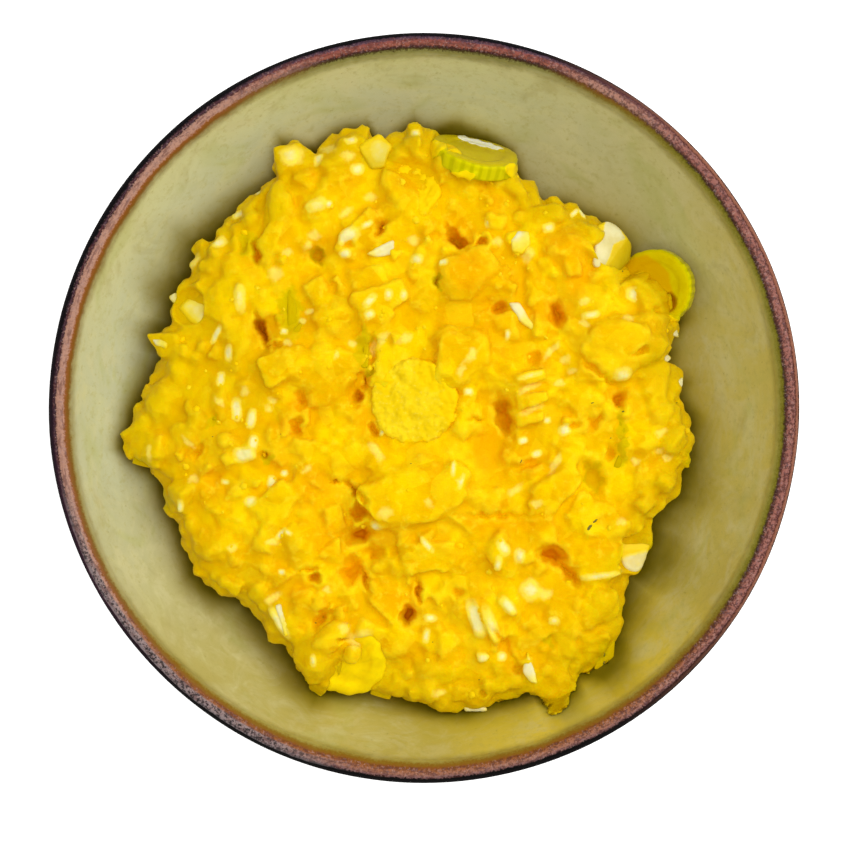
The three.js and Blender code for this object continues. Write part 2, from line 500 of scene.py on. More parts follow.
# %% Unevenness of the hand-made wall
BAND_NAME = "from_edge"
WALL_CORE_BOTTOM = 6.5
WALL_GRAIN = 55
WALL_UNEVENNESS = 0.5


def on_inner_side(rows):
    """True for the points on the inner side of the middle of the bowl's wall."""
    middle = ellipse_radius(rows[:, 2], LIP_MIDDLE, WALL_CORE_BOTTOM)
    return np.hypot(rows[:, 0], rows[:, 1]) < middle


rows = points_of(bowl)
below = np.minimum(rows[:, 2] - RIM_HEIGHT, 0)
outside = ~on_inner_side(rows) & (below < 0)
from_edge = OUTSIDE_RADIUS - np.hypot(rows[:, 0], rows[:, 1])
store(bowl, BAND_NAME, np.where(outside, below, from_edge))
modify(bowl, "SUBSURF", levels=1, render_levels=1)
roughen(bowl, "uneven_wall", WALL_GRAIN, WALL_UNEVENNESS)
rows = points_of(bowl)
rows[:, 2] = np.maximum(rows[:, 2], 0)
move_points(bowl, rows)
settle(bowl, "stoneware_bowl")
print("bowl:", triangles_of(bowl), "triangles")

# %% [markdown]
# ## Glaze
# A reactive glaze breaks where it runs thin. Inside it is a satin sage cream with pale clouds and
# pinholes; greyer on the left and more olive on the right is painted light, the window lighting the
# left wall and the yellow heap's light thrown back onto the right one. Over the lip it breaks into
# salmon, mauve and rust with dark specks, and the outside is nearly black; the pale salmon band is
# partly a painted highlight, the lip's sheen. The piece carries the distance from its outer edge,
# so a colour ramp over that distance draws the bands of the lip. They differ from side to side,
# partly because the painted sheen lies on the inner half of the lip at the left and on its outer
# half at the right, so there is one ramp for each side and they melt together.

# %% Where on the bowl a point lies
def bowl_places(paint):
    """Directions, height and distance from the edge, all of them a little uneven."""
    place = paint.place()
    x = place.part("X")
    y = place.part("Y")
    radius = paint.maths("SQRT", x * x + y * y)
    east = x / radius
    north = y / radius
    circle = {"X": east * 0.02, "Y": north * 0.02, "Z": radius}
    wobble = (paint.noise(14, 3) - 0.5) * 0.9 + (paint.noise(1.6, 2) - 0.5) * 0.4
    jagged = (paint.noise(0.55, 2, 0.7) - 0.5) * 1.3
    from_edge = paint.attribute(BAND_NAME) + wobble
    return SimpleNamespace(
        east=east, north=north, high=place.part("Z"),
        drift=(paint.noise(40) - 0.5) * 0.6,
        around=paint.add("ShaderNodeCombineXYZ", None, circle),
        band=(from_edge + jagged) / 10,
        smooth_band=from_edge / 10,
    )


# %% Glaze of the inside
def inside_colour(paint, at):
    """Sage cream with clouds, stains and pinholes, with painted light that differs by direction, and
    painted shadow and yellow bounce beside the heap.
    """
    # Painted light by direction, made uneven by the drift: paler and greyer on the left, where the
    # window lights the wall, olive on the right from the yellow heap's bounce, more olive at the
    # front, paler at the back and near its rim, and yellow at the front right.
    right = (at.east * 0.78 - at.north * 0.62 + at.drift).step(-0.75, 0.85)
    front = (at.drift - at.north).step(0.1, 1.0)
    back = (at.north - at.east * 0.3 + at.drift).step(0.1, 1.1)
    front_right = (at.east * 0.5 - at.north * 0.87).step(0.88, 1.0)
    streak = paint.noise(4, 4, 0.65, 0.8, at.around).step(0.46, 0.70)
    cloud = paint.noise(9, 4, 0.62, 1.2).step(0.44, 0.70)
    green = paint.noise(7, 3, 0.6, 0.8, at.around).step(0.52, 0.72)
    stain = paint.noise(13, 4, 0.65, 0.8).step(0.52, 0.76)
    mottle = paint.noise(1.8, 4, 0.75).step(0.48, 0.72)
    pinhole = paint.noise(0.9, 2).step(0.70, 0.78)
    patchy = 1.0 + (paint.noise(7, 2) - 0.5) * 0.6
    thin_film = (paint.attribute("thin_film") * patchy).step(0.0, 1.0)
    thick_film = (paint.attribute("thick_film") * patchy).step(0.0, 1.0)
    return paint.layers(
        paint.mix(right, rgb(196, 198, 160), rgb(208, 194, 102)),
        (front * 0.6, rgb(178, 162, 70)),
        (back * 0.45, rgb(206, 205, 158)),
        (back * at.high.step(0.046, 0.060) * 0.5, rgb(232, 230, 160)),
        (front_right * 0.9, rgb(230, 208, 74)),
        (streak * 0.5, rgb(214, 210, 152)),
        (cloud * 0.4, rgb(214, 208, 158)),
        (green * 0.4, rgb(176, 180, 92)),
        (stain * 0.35, rgb(164, 152, 84)),
        (mottle * 0.35, rgb(174, 166, 82)),
        (pinhole * 0.25, rgb(120, 104, 58)),
        # Painted yellow bounce light, then the heap's painted shadow on the wall.
        (thin_film * 0.75, rgb(180, 158, 6)),
        (thick_film * 0.95, rgb(104, 92, 2)),
    )


# %% Colours across the lip, for each side of the bowl
LIP_SHADE = 0.82
# The pale salmon band in each ramp is partly a painted highlight: the lip's sheen, on its inner half
# at the left and on its outer half at the right.
lip_bands = {
    # distance from the outer edge in centimetres, and the screen colour there
    "left": [
        (0.0, (20, 9, 16)), (0.10, (52, 26, 40)), (0.15, (98, 60, 72)), (0.18, (40, 18, 22)),
        (0.21, (210, 154, 130)), (0.34, (220, 164, 138)), (0.38, (168, 98, 38)),
        (0.45, (146, 98, 22)), (0.51, (176, 158, 82)),
    ],
    "top": [
        (0.0, (4, 2, 5)), (0.12, (8, 4, 9)), (0.14, (70, 46, 64)), (0.19, (116, 84, 100)),
        (0.22, (168, 88, 78)), (0.33, (172, 92, 66)), (0.37, (70, 30, 24)), (0.42, (80, 62, 22)),
        (0.47, (164, 158, 84)),
    ],
    "right": [
        (0.0, (24, 10, 10)), (0.03, (70, 34, 28)), (0.06, (178, 122, 96)), (0.11, (160, 96, 74)),
        (0.135, (62, 26, 24)), (0.16, (184, 120, 108)), (0.29, (178, 108, 92)),
        (0.33, (110, 58, 38)), (0.37, (62, 42, 14)), (0.42, (140, 130, 26)), (0.50, (180, 170, 74)),
    ],
    "bottom": [
        (0.0, (4, 2, 2)), (0.15, (8, 4, 4)), (0.18, (160, 112, 106)), (0.24, (192, 128, 100)),
        (0.32, (182, 108, 60)), (0.38, (158, 90, 20)), (0.46, (160, 120, 24)), (0.53, (184, 168, 76)),
    ],
}


def lip(red, green, blue):
    """A screen colour as seen on the lip, which faces the light and so looks paler than it is."""
    return rgb(LIP_SHADE * red, LIP_SHADE * green, LIP_SHADE * blue)


def lip_ramp(paint, band, side):
    """The colours across the lip on one side of the bowl, with its painted sheen."""
    return paint.ramp(band, [(place, lip(*colour)) for place, colour in lip_bands[side]])


# %% Glaze of the lip
def lip_colour(paint, at):
    """The four sides melted together, then specks and short lines over them."""
    north, east, drift = at.north, at.east, at.drift
    upper_left = ((north - east) * 0.707 + drift * 0.3).step(0.5, 0.95)
    lower_left = ((east + north) * -0.707 + drift * 0.2).step(0.82, 0.96)
    black_edge = upper_left * (1 - at.smooth_band.step(0.15, 0.19))
    grey_band = at.smooth_band.step(0.11, 0.14) * (1 - at.smooth_band.step(0.28, 0.33))
    on_lip = at.smooth_band.step(0.12, 0.17) * (1 - at.smooth_band.step(0.36, 0.42))
    pale_speck = paint.noise(0.6, 2, 0.7).step(0.55, 0.64)
    speck = paint.noise(0.8, 3, 0.8).step(0.48, 0.56)
    line = paint.noise(0.8, 2, 0.6, 0.0, at.around).step(0.52, 0.62)
    black_speck = paint.noise(0.9, 3, 0.75).step(0.48, 0.56)
    bluish = paint.noise(0.7, 2, 0.6).step(0.56, 0.66)
    return paint.layers(
        lip_ramp(paint, at.band - upper_left * 0.05, "left"),
        (black_edge, lip(6, 3, 6)),
        ((north + drift * 0.6).step(0.78, 0.96), lip_ramp(paint, at.band, "top")),
        ((east + drift * 0.6).step(0.30, 0.70), lip_ramp(paint, at.band, "right")),
        ((0 - north + drift * 0.5).step(0.45, 0.85), lip_ramp(paint, at.band, "bottom")),
        (lower_left * grey_band * 0.8, lip(184, 166, 166)),
        (pale_speck * on_lip * 0.45, lip(214, 170, 156)),
        (speck * on_lip * (0.5 + east * 0.25), lip(66, 26, 26)),
        (line * on_lip * 0.5, lip(104, 50, 44)),
        (black_speck * lower_left * grey_band * 0.9, lip(40, 34, 34)),
        (bluish * on_lip * 0.2, lip(150, 130, 146)),
    )


# %% Glaze of the whole bowl
def glaze_paint():
    """Inside, lip, dark outside and the bare clay under the foot, in one material."""
    paint = Paint("glazed_stoneware", Specular_IOR_Level=0.12)
    at = bowl_places(paint)
    rust = paint.noise(3.2, 4, 0.65).step(0.52, 0.70)
    clay = 1 - at.high.step(0.0003, 0.0008)
    outer = paint.layers(rgb(24, 15, 14), (rust * 0.8, rgb(92, 50, 30)), (clay, rgb(168, 132, 100)))
    colour = paint.layers(
        lip_colour(paint, at),
        (at.smooth_band.step(0.47, 0.60), inside_colour(paint, at)),
        (1 - at.smooth_band.step(-0.04, 0.02), outer),
    )
    dark_edge = (1 - at.smooth_band.step(0.10, 0.22)) * 0.6
    roughness = 0.36 + paint.noise(5) * 0.12 + clay * 0.4 + dark_edge
    ripple = paint.bump(paint.noise(9, 2), 0.25)
    relief = paint.bump(paint.noise(0.8, 2), 0.03, ripple)
    return paint.finish(colour, roughness, relief)


# %% A finished piece
def show_as(piece, paint, slot, *nodes):
    """Gives a finished piece its material, and hides the nodes it stands for. The slot is not used.
    """
    piece.data.materials.clear()
    piece.data.materials.append(paint)
    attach(piece, "root")
    if nodes:
        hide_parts(*nodes)
    print(piece.name, "has", triangles_of(piece), "triangles")


show_as(bowl, glaze_paint(), "glazed_stoneware", "bowl")

# %% [markdown]
# ## Shape of the heap
# The heap is a low dome with an uneven edge, piled a little to the left and front of the bowl's
# middle. Two formulas hold it: how far its edge reaches in each direction, and how high its top
# is over each place. The edge goes through points chosen where it turns, and bigger swellings
# and hollows are added to the dome by name, so every later step can ask for the height.

# %% Points on the heap's edge
HEAP_X = -0.8
HEAP_Y = -2.8
EDGE_HEIGHT = 43.5
DOME_RISE = 10.5
SHOULDER = 3.4

left_edge = [
    (-63.5, 16), (-60.5, 19), (-58.5, 20), (-60, 25.5), (-55.5, 31), (-53.8, 38.5), (-49, 41),
    (-44.8, 46.3), (-40, 50), (-35, 54), (-33.5, 61.8), (-29, 61.3), (-26, 60),
]
top_edge = [
    (-22.5, 63), (-18, 65.2), (-13, 65.8), (-12, 63), (-8.5, 61.5), (-6, 64.5), (-1.5, 67.5),
    (0.5, 65), (8, 66.8), (15, 64), (20.8, 60), (23.3, 54.2), (27, 48.9), (34, 48.8), (38, 46),
    (44.5, 42.5), (48.5, 38), (47.5, 32.5),
]
right_edge = [
    (53, 33), (58, 27), (60.5, 20), (57, 15), (58, 12), (55, 9.8), (60.5, 6.8), (60.2, 3),
    (63.5, -3.5), (62.3, -12), (60, -20.5), (56, -23), (53, -26), (54.2, -30), (50.5, -38),
    (46.8, -38.5), (47.7, -43), (45.5, -50), (44.5, -57), (42, -61.5), (38.5, -62), (36.5, -61),
    (35, -65.5), (32, -68.8), (28, -68.5), (25.5, -65.8),
]
bottom_edge = [
    (22, -68), (16.5, -69.8), (8.5, -71.3), (-1, -70.3), (-6, -68), (-12.5, -65.3), (-20, -65.8),
    (-24.5, -66.8), (-29, -62.5), (-32, -57), (-36, -52.5), (-43, -45.5), (-46.5, -44.5),
    (-51, -42.3), (-54.5, -39), (-56.5, -33), (-58.5, -27), (-61.5, -21), (-62.5, -16.5),
    (-66.5, -12.8), (-70.3, -9), (-68, 0), (-64, 7), (-60.5, 12),
]

# %% How far the heap reaches
edge = np.array(left_edge + top_edge + right_edge + bottom_edge, dtype=float)
edge_turns = np.arctan2(edge[:, 1] - HEAP_Y, edge[:, 0] - HEAP_X)
edge_reach = np.hypot(edge[:, 0] - HEAP_X, edge[:, 1] - HEAP_Y)
order = np.argsort(edge_turns)
edge_turns = edge_turns[order]
edge_reach = edge_reach[order]


def reach_at(turn):
    """How far the heap's edge is from its middle, in a direction given in radians."""
    return np.interp(turn, edge_turns, edge_reach, period=2 * math.pi)


def reach_towards(x, y):
    """How far the heap's edge is from its middle, in the direction of a place."""
    return reach_at(np.arctan2(y - HEAP_Y, x - HEAP_X))


def share_out(x, y):
    """0 at the heap's middle and 1 at its edge."""
    return np.hypot(x - HEAP_X, y - HEAP_Y) / reach_towards(x, y)


# %% Swellings and hollows, each with its place, width and height
swellings = [
    # x, y, length, width, turn, height
    (-33, 44, 17, 9, 80, 2.2), (-24, 46, 9, 9, 0, 1.6), (-22, 56, 17, 12, 20, 2),
    (-45, 32, 14, 10, 30, 1.2), (10, 31, 13, 12, 0, 2.4), (33, 38, 12, 11, 0, 2.4),
    (24, 45, 14, 10, 0, 1.6), (45, 14, 23, 17, 10, 3), (40, 28, 16, 10, 0, 1.5),
    (-1, -20, 26, 17, 0, 3.2), (24, 4, 10, 12, 0, 1.8), (8, 12, 17, 13, 20, 1.8),
    (55, -4, 13, 16, 0, 1.6), (40, -34, 13, 9, 8, 2), (40, -47, 13, 12, 0, 1.8),
    (30, -63, 11, 10, 0, 1.6), (-21, -57, 22, 17, 0, 2.6), (-38, -36, 20, 14, 40, 1.6),
    (-58, 0, 16, 18, 0, 1.4), (-45, -12, 20, 14, 0, 1.2), (14, -54, 13, 20, 20, 1.6),
    (-30, 8, 15, 17, 0, 1.6), (-12, 26, 18, 12, 20, 1.4), (22, -34, 12, 14, 0, 1.2),
    (-63, -9, 10, 8, 0, 1.5), (-50, 22, 14, 9, 40, 1.2), (2, 53, 10, 14, 0, 0.8),
]
hollows = [
    (-15, 5, 4, 15, -12, -1.8), (16, -9, 12, 18, 0, -2.2), (-16, -24, 9, 13, 0, -3),
    (-14, -36, 12, 12, 0, -2.2), (7, 39, 10, 6, -50, -2.2), (17, 24, 6, 6, 0, -1.6),
    (30, 21, 5, 10, 0, -2), (-37, 18, 5, 9, 0, -1.8), (30, -36, 9, 8, -45, -2.4),
    (40, -15, 9, 11, 0, -1.6), (18, -56, 5, 12, 20, -1.6), (-23, -48, 10, 4, 20, -1.6),
    (-28, -1, 6, 10, 0, -1.4), (36, 9, 14, 4, -35, -1.4), (13, -25, 20, 3, 0, -1),
    (-26, 33, 8, 8, 0, -1.4), (-3, -45, 7, 9, 0, -1.2), (-49, -21, 12, 5, 30, -1),
]


# %% Height of the heap
RISE_SHARE = 1.2
EDGE_FADE = 6


def oval_distance(x, y, place_x, place_y, length, width, turn=0):
    """Distance from the middle of a turned oval, 1 on its rim."""
    along = math.radians(turn)
    u = (x - place_x) * math.cos(along) + (y - place_y) * math.sin(along)
    v = (y - place_y) * math.cos(along) - (x - place_x) * math.sin(along)
    return np.sqrt((2 * u / length) ** 2 + (2 * v / width) ** 2)


def heap_height(x, y):
    """Height of the heap's top over a place, in millimetres."""
    out = np.clip(share_out(x, y), 0, 1)
    height = EDGE_HEIGHT + DOME_RISE * (1 - out ** SHOULDER) ** (1 / SHOULDER)
    for *oval, rise in swellings + hollows:
        distance = oval_distance(x, y, *oval)
        height = height + RISE_SHARE * rise * np.exp(-distance ** 2) * (1 - out ** EDGE_FADE)
    return height


print("heap height in the middle:", round(float(heap_height(0.0, 0.0)), 1), "mm")

# %% [markdown]
# ## Painted shadow and bounce light on the wall
# Beside the heap the glaze is painted with the heap's shadow on the wall, a dark olive close to
# the food, and further out with the yellow light that the heap throws back onto it. Two numbers
# on the bowl's points say how strong each is, and the glaze already reads them. How far they
# reach differs from side to side.

# %% Painted shadow and painted bounce light beside the heap
FILM_FADE = 1.5
film_reaches = [
    # direction in degrees, how far the painted shadow reaches, how far the painted yellow bounce
    # reaches
    (0, 6.5, 14), (30, 5.5, 12), (60, 4.2, 7), (90, 4.2, 6), (120, 4.8, 6), (150, 16, 14),
    (180, 6, 5), (210, 6.4, 6), (240, 11, 11), (270, 4.4, 11), (300, 4.4, 14), (330, 18, 22),
]
film_turns, thick_reaches, thin_reaches = np.array(film_reaches, dtype=float).T
rows = points_of(bowl)
from_middle = rows[:, :2] - (HEAP_X, HEAP_Y)
direction = np.arctan2(from_middle[:, 1], from_middle[:, 0])
beside = np.hypot(from_middle[:, 0], from_middle[:, 1]) - reach_at(direction)
for film_name, reaches in (("thick_film", thick_reaches), ("thin_film", thin_reaches)):
    film_reach = np.interp(np.degrees(direction), film_turns, reaches, period=360)
    film = np.clip(1 - beside / film_reach, 0, 1) ** FILM_FADE
    store(bowl, film_name, film * on_inner_side(rows))
print("the film reaches", min(thick_reaches), "to", max(thin_reaches), "mm beyond the heap")

# %% [markdown]
# ## Core of the heap
# What lies underneath is mash that nobody sees, yet it has to fill the bowl down to its wall.
# A ball whose points are moved to the dome's formula is closed and even, so it is the simplest
# start. The pieces of egg are then laid over it.

# %% Room inside the bowl
CORE_BELOW_TOP = 1.2
CORE_DEPTH = 36
CORE_INSET = 1.0
WALL_GAP = 0.35
WALL_MARGIN = 0.3
FULL_HEIGHT = 56.2
ROOM_ABOVE = 1.2


def keep_in_bowl(points):
    """Keeps points above the bowl's wall, and eases the highest ones down under the free space."""
    radius = np.hypot(points[:, 0], points[:, 1])
    floor = wall_height(np.minimum(radius + WALL_MARGIN, INSIDE_RADIUS)) + WALL_GAP
    over = np.maximum(points[:, 2] - FULL_HEIGHT, 0)
    lowered = np.minimum(points[:, 2], FULL_HEIGHT) + ROOM_ABOVE * np.tanh(over / ROOM_ABOVE)
    points[:, 2] = np.maximum(lowered, floor)
    return points


# %% Core that fills the bowl
core = start("core", bpy.ops.mesh.primitive_ico_sphere_add, subdivisions=6, radius=1)
ball = points_of(core) * MM
turns = np.arctan2(ball[:, 1], ball[:, 0])
from_pole = np.arccos(np.clip(np.abs(ball[:, 2]), 0, 1)) / (math.pi / 2)
outward = from_pole * (1.35 - 0.35 * from_pole ** 2)
reach = reach_at(turns) - CORE_INSET
rows = np.zeros_like(ball)
rows[:, 0] = HEAP_X + outward * reach * np.cos(turns)
rows[:, 1] = HEAP_Y + outward * reach * np.sin(turns)
domed = np.clip(1 - outward ** SHOULDER, 0, 1) ** (1 / SHOULDER)
top = heap_height(rows[:, 0], rows[:, 1]) - CORE_BELOW_TOP
rows[:, 2] = np.where(ball[:, 2] > 0, top, EDGE_HEIGHT - CORE_BELOW_TOP - CORE_DEPTH * domed)
move_points(core, keep_in_bowl(rows))
print("core:", triangles_of(core), "triangles")

# %% [markdown]
# ## Chopped egg
# Boiled egg breaks in a few ways: the white is cut into dice, wedges, flat slabs and slivers,
# and breaks into chunks, and the yolk falls into lumps. One of each is modelled at unit size,
# in three uneven versions, and copied to wherever the heap needs it.

# %% Into edit mode and out of it
def begin_edit(piece):
    """Opens a piece for editing, with all of it selected."""
    only(piece)
    bpy.ops.object.mode_set(mode="EDIT")
    bpy.ops.mesh.select_all(action="SELECT")


def end_edit():
    """Back to whole objects."""
    bpy.ops.object.mode_set(mode="OBJECT")


# %% Pieces with knife cuts
CUT_KINDS = {
    # how far it bends down, how much it tapers, how wide its softened edges are
    "dice": (0.15, 0.2, 0.1), "slab": (0.5, 0.35, 0.08), "sliver": (0.5, 0.6, 0.1),
}


def egg_cut(kind, seed):
    """A cube with cut edges, bent downwards, tapered and made uneven."""
    bend, taper, edge_width = CUT_KINDS[kind]
    piece = start(kind, bpy.ops.mesh.primitive_cube_add, size=1)
    begin_edit(piece)
    bpy.ops.mesh.bevel(offset=edge_width, segments=1, affect="EDGES")
    bpy.ops.mesh.select_all(action="SELECT")
    bpy.ops.mesh.subdivide(number_cuts=1)
    bpy.ops.transform.vertex_random(offset=0.045, seed=seed)
    end_edit()
    rows = points_of(piece) * MM
    rows[:, 2] -= bend * rows[:, 0] ** 2
    rows[:, 1] *= 1 - taper * (rows[:, 0] + 0.5)
    move_points(piece, rows / MM)
    return piece


def egg_wedge(kind, seed):
    """A three-sided prism that lies flat, with softened edges."""
    piece = start(kind, bpy.ops.mesh.primitive_cylinder_add, vertices=3, radius=0.6, depth=1)
    begin_edit(piece)
    bpy.ops.mesh.bevel(offset=0.09, segments=1, affect="EDGES")
    bpy.ops.transform.vertex_random(offset=0.04, seed=seed)
    end_edit()
    return piece


# %% Broken pieces
def egg_chunk(kind, seed):
    """A broken piece with a few flat sides: the hull round a shaken ball of twelve points."""
    piece = start(kind, bpy.ops.mesh.primitive_ico_sphere_add, subdivisions=1, radius=0.52)
    begin_edit(piece)
    bpy.ops.transform.vertex_random(offset=0.17, seed=seed)
    bpy.ops.mesh.convex_hull()
    bpy.ops.mesh.bevel(offset=0.05, segments=1, affect="EDGES")
    end_edit()
    return piece


def egg_lump(kind, seed):
    """A rounded crumb with shallow dents."""
    piece = start(kind, bpy.ops.mesh.primitive_ico_sphere_add, subdivisions=3, radius=0.5)
    roughen(piece, "dents", 420 + 60 * seed, 350)
    return piece


# %% Three versions of each kind
VERSIONS = 3
MAKERS = {
    "dice": egg_cut, "slab": egg_cut, "sliver": egg_cut, "wedge": egg_wedge,
    "chunk": egg_chunk, "lump": egg_lump,
}
masters = {
    kind: [make(kind, seed) for seed in range(VERSIONS)] for kind, make in MAKERS.items()
}
for kind, versions in masters.items():
    print(kind, [triangles_of(version) for version in versions], "triangles")


# %% Lay a copy of a piece down
def turned(turn, lean, towards):
    """A turn on the spot, then a lean towards a direction, all in degrees."""
    way = math.radians(towards)
    axis = Vector((-math.sin(way), math.cos(way), 0))
    spin = Matrix.Rotation(math.radians(turn), 4, "Z")
    return Matrix.Rotation(math.radians(lean), 4, axis) @ spin


def lay(kind, version, place, size, turn, lean, towards):
    """Copies a piece to a place, with its size in millimetres along its own three sides."""
    master = masters[kind][version % VERSIONS]
    copy = bpy.data.objects.new(kind, master.data.copy())
    bpy.context.collection.objects.link(copy)
    stretch = Matrix.Diagonal((size[0] * MM, size[1] * MM, size[2] * MM, 1))
    shift = Matrix.Translation(Vector(place) * MM)
    copy.matrix_world = shift @ turned(turn, lean, towards) @ stretch
    return copy


def join(copies, name):
    """Joins copies into one mesh at the origin, and passes over those that found no place."""
    found = [copy for copy in copies if copy]
    bpy.ops.object.select_all(action="DESELECT")
    for copy in found:
        copy.select_set(True)
    bpy.context.view_layer.objects.active = found[0]
    bpy.ops.object.join()
    piece = bpy.context.object
    settle(piece, name)
    return piece


# %% [markdown]
# ## Pieces that can be told apart
# Some pieces are large enough to be recognised: the cube that stands at the upper left, the
# smooth big half on the right, the slabs beside the yolk. They are laid one by one. Between them
# the chopped egg is small and anyhow, so it is scattered, and each piece leans with the slope
# it lies on. How far a piece's top stands over the heap's own height is given for each.

# %% Large pieces laid one by one
large_pieces = [
    # kind, x, y, how far it stands out, (length, width, height), turn, lean, towards
    ("dice", -31, 57.6, 1.6, (7.5, 7.5, 7), 15, 12, 100), ("lump", -33, 45, 1.6, (8, 16, 7), 8),
    ("chunk", -24.6, 47, 1.4, (10, 8, 6), 20), ("slab", -36, 38, 1, (10, 6, 4), 60, 14, 200),
    ("chunk", -42.5, 27, 1.2, (7, 10, 6), 95), ("chunk", -44, 33, 1.4, (9, 8, 6), 30),
    ("dice", -2, 64, 1.4, (4, 5, 7), 10, 10, 80), ("lump", -6.5, 61.5, 1.2, (7, 6.5, 6)),
    ("slab", -15.2, 40.4, 1.5, (13, 6, 4), 55, 12, 325),
    ("slab", -7.4, 40.4, 1.3, (14, 6.5, 4), 34, 14, 304), ("lump", -7, 45.5, 1.2, (8, 7, 5)),
    ("lump", 10, 31, 1.4, (14, 12.5, 8)), ("lump", 17.5, 29, 1.6, (5, 5, 5)),
    ("chunk", -20, 57, 1.4, (9, 8, 6), 25, 10, 120), ("lump", 33, 37.5, 1.6, (11, 10, 8)),
    ("chunk", 40, 30.5, 1.4, (11, 8, 7), 10), ("slab", 27, 44, 1, (10, 7, 4), 20, 14, 90),
    ("dice", 22.3, 38.6, 1.4, (6, 6, 5), 30, 8, 60), ("chunk", 26, 28, 1.2, (8, 8, 6)),
    ("lump", 44, 13.5, 2.2, (24, 16, 11), 12), ("lump", 51, 18, 2, (12, 9, 9), 40),
    ("chunk", 46, 8, 1.6, (6, 6, 5), 20, 8, 300), ("slab", 24.3, 7, 1.6, (8, 3.8, 5), 15, 10, 200),
    ("slab", 24.9, 2.2, 1.5, (8, 3.8, 5), 12, 10, 200),
    ("slab", 24.4, -2.4, 1.2, (7, 3.4, 4), 8, 10, 200), ("lump", -2, -20, 2.2, (25, 16, 10), 2),
    ("chunk", 6, -16.4, 2.6, (10, 9, 6), 20), ("lump", 55, -1.5, 1.6, (6.5, 6, 6)),
    ("lump", 58, -7, 1.4, (6.5, 6.5, 6)), ("lump", 51, -8, 1.4, (6, 7, 5)),
    ("chunk", 40.2, -35, 1.8, (14, 10, 6), 8), ("lump", 40, -46, 1.6, (11, 11, 8)),
    ("chunk", 38.5, -53, 1.4, (9, 8, 7)), ("lump", 30.5, -64, 1.6, (10, 9, 8)),
    ("chunk", 22, -62.5, 1.2, (8, 9, 7)), ("lump", -25, -57, 3, (10, 14, 9), 12),
    ("chunk", -16.6, -56.6, 4.4, (5.4, 5, 4), 30), ("lump", -21.5, -53, 3, (9, 6, 6), 30),
    ("slab", -33, -49, 1.4, (10, 4, 4.5), -62, 14, 210),
    ("slab", 15.2, -48.5, 2.2, (12, 5.5, 5), -68, 14, 20),
    ("chunk", 18, -31.5, 1.8, (7, 3.4, 4), -45), ("lump", -60, 1.5, 1.4, (9, 12, 7), 10),
    ("lump", -52.5, -3, 1.4, (4.5, 8, 5)), ("chunk", -47, 1.5, 1, (5, 6, 4)),
    ("wedge", -60.5, 15.4, 1.4, (9, 7, 4), 180, 14, 190), ("chunk", -65.5, -8, 1.4, (10, 9, 8)),
    ("dice", -30, -2, 1.2, (7, 6, 5), 10, 8, 90), ("slab", -32, 10, 1.2, (12, 8, 4), 25, 10, 90),
    ("lump", -43, 15, 1.4, (13, 10, 7), 60), ("lump", -24, 9, 1.6, (12, 13, 7)),
    ("chunk", -20, -12, 1.4, (11, 9, 6)), ("slab", -34, -22, 1.2, (11, 9, 4), 50, 12, 240),
    ("chunk", -44, -24, 1.4, (10, 9, 6)), ("lump", -28, -31, 1.6, (10, 12, 7)),
    ("slab", 1, -34, 1.4, (13, 8, 4), 10, 10, 280), ("lump", -6, -54, 1.4, (11, 10, 7)),
    ("lump", 4, -60, 1.2, (13, 10, 7)), ("chunk", -6, -64, 1, (9, 8, 7)),
    ("lump", 13, -66, 1, (8, 8, 7)), ("chunk", 27, -29, 1.4, (9, 8, 6), 30),
    ("chunk", 38, -25, 1.6, (14, 8, 6), 10), ("slab", 31, -18, 1.4, (12, 8, 4), 40, 10, 330),
    ("chunk", 0, 26, 1.4, (9, 8, 6)), ("slab", -10, 25, 1.4, (13, 8, 4), 25, 10, 300),
    ("lump", 8.5, 11.5, 2.6, (12, 15, 7), -20), ("lump", 9.6, 0, 1.8, (7, 17, 6)),
    ("lump", -4.2, 47.4, 2.4, (18, 9, 7), -57), ("lump", -17, 61, 1.4, (7, 6, 6)),
    ("lump", 44, -28, 1.6, (9, 7, 6), 20), ("chunk", 5.5, 16.4, 1.8, (9, 6, 5), 20),
    ("lump", -20, 22, 1.4, (12, 9, 6), 30), ("chunk", 52, -16, 1.4, (11, 8, 6), 60),
    ("chunk", 10, 51, 1.2, (12, 7, 5), -20), ("lump", -48, -31, 1.4, (11, 9, 7), 30),
    ("lump", 5.5, 57.8, 3.4, (8, 6, 6), 20), ("chunk", 11, 54, 3, (9, 4, 5), -15),
    ("lump", 17.2, -33.2, 2.4, (5, 9, 5), 12), ("lump", 18.8, -45.4, 2.6, (5, 7.4, 5), -30),
]

# %% Lay the large pieces
PROUD_SHARE = 0.8


def lay_large(kind, x, y, proud, size, turn=0, lean=0, towards=0):
    """Lays one of the large pieces at the heap's own height there, standing out a little."""
    height = heap_height(x, y) + PROUD_SHARE * proud - size[2] / 2
    return lay(kind, int(abs(x + y)), (x, y, height), size, turn, lean, towards)


laid = [lay_large(*piece) for piece in large_pieces]
print(len(laid), "large pieces laid")

# %% Parts of the heap that stay smooth
smooth_places = [
    # x, y, length, width, turn
    (44, 14, 20, 14, 12), (-2, -20, 22, 13), (15, -10, 10, 15), (10, 31, 12, 11), (33, 38, 9, 8),
    (-2, 0, 22, 22), (-21, -57, 19, 14), (40, -34.5, 12, 9, 8), (-3, 50, 13, 14),
    (12, 59, 20, 13, -14), (54, 28, 18, 18), (-33, 45, 8, 14, 10), (-10, 40, 18, 7, 40),
    (3, 14, 14, 9, 30), (48, -32, 10, 12), (-54, 22.5, 8, 7), (43, 38, 9, 11), (-12, 59.5, 7, 7),
    (-60, 2, 8, 10), (18, -27, 14, 4),
]


def is_smooth(x, y):
    """True for a place on one of the smooth parts."""
    return any(oval_distance(x, y, *place) < 1 for place in smooth_places)


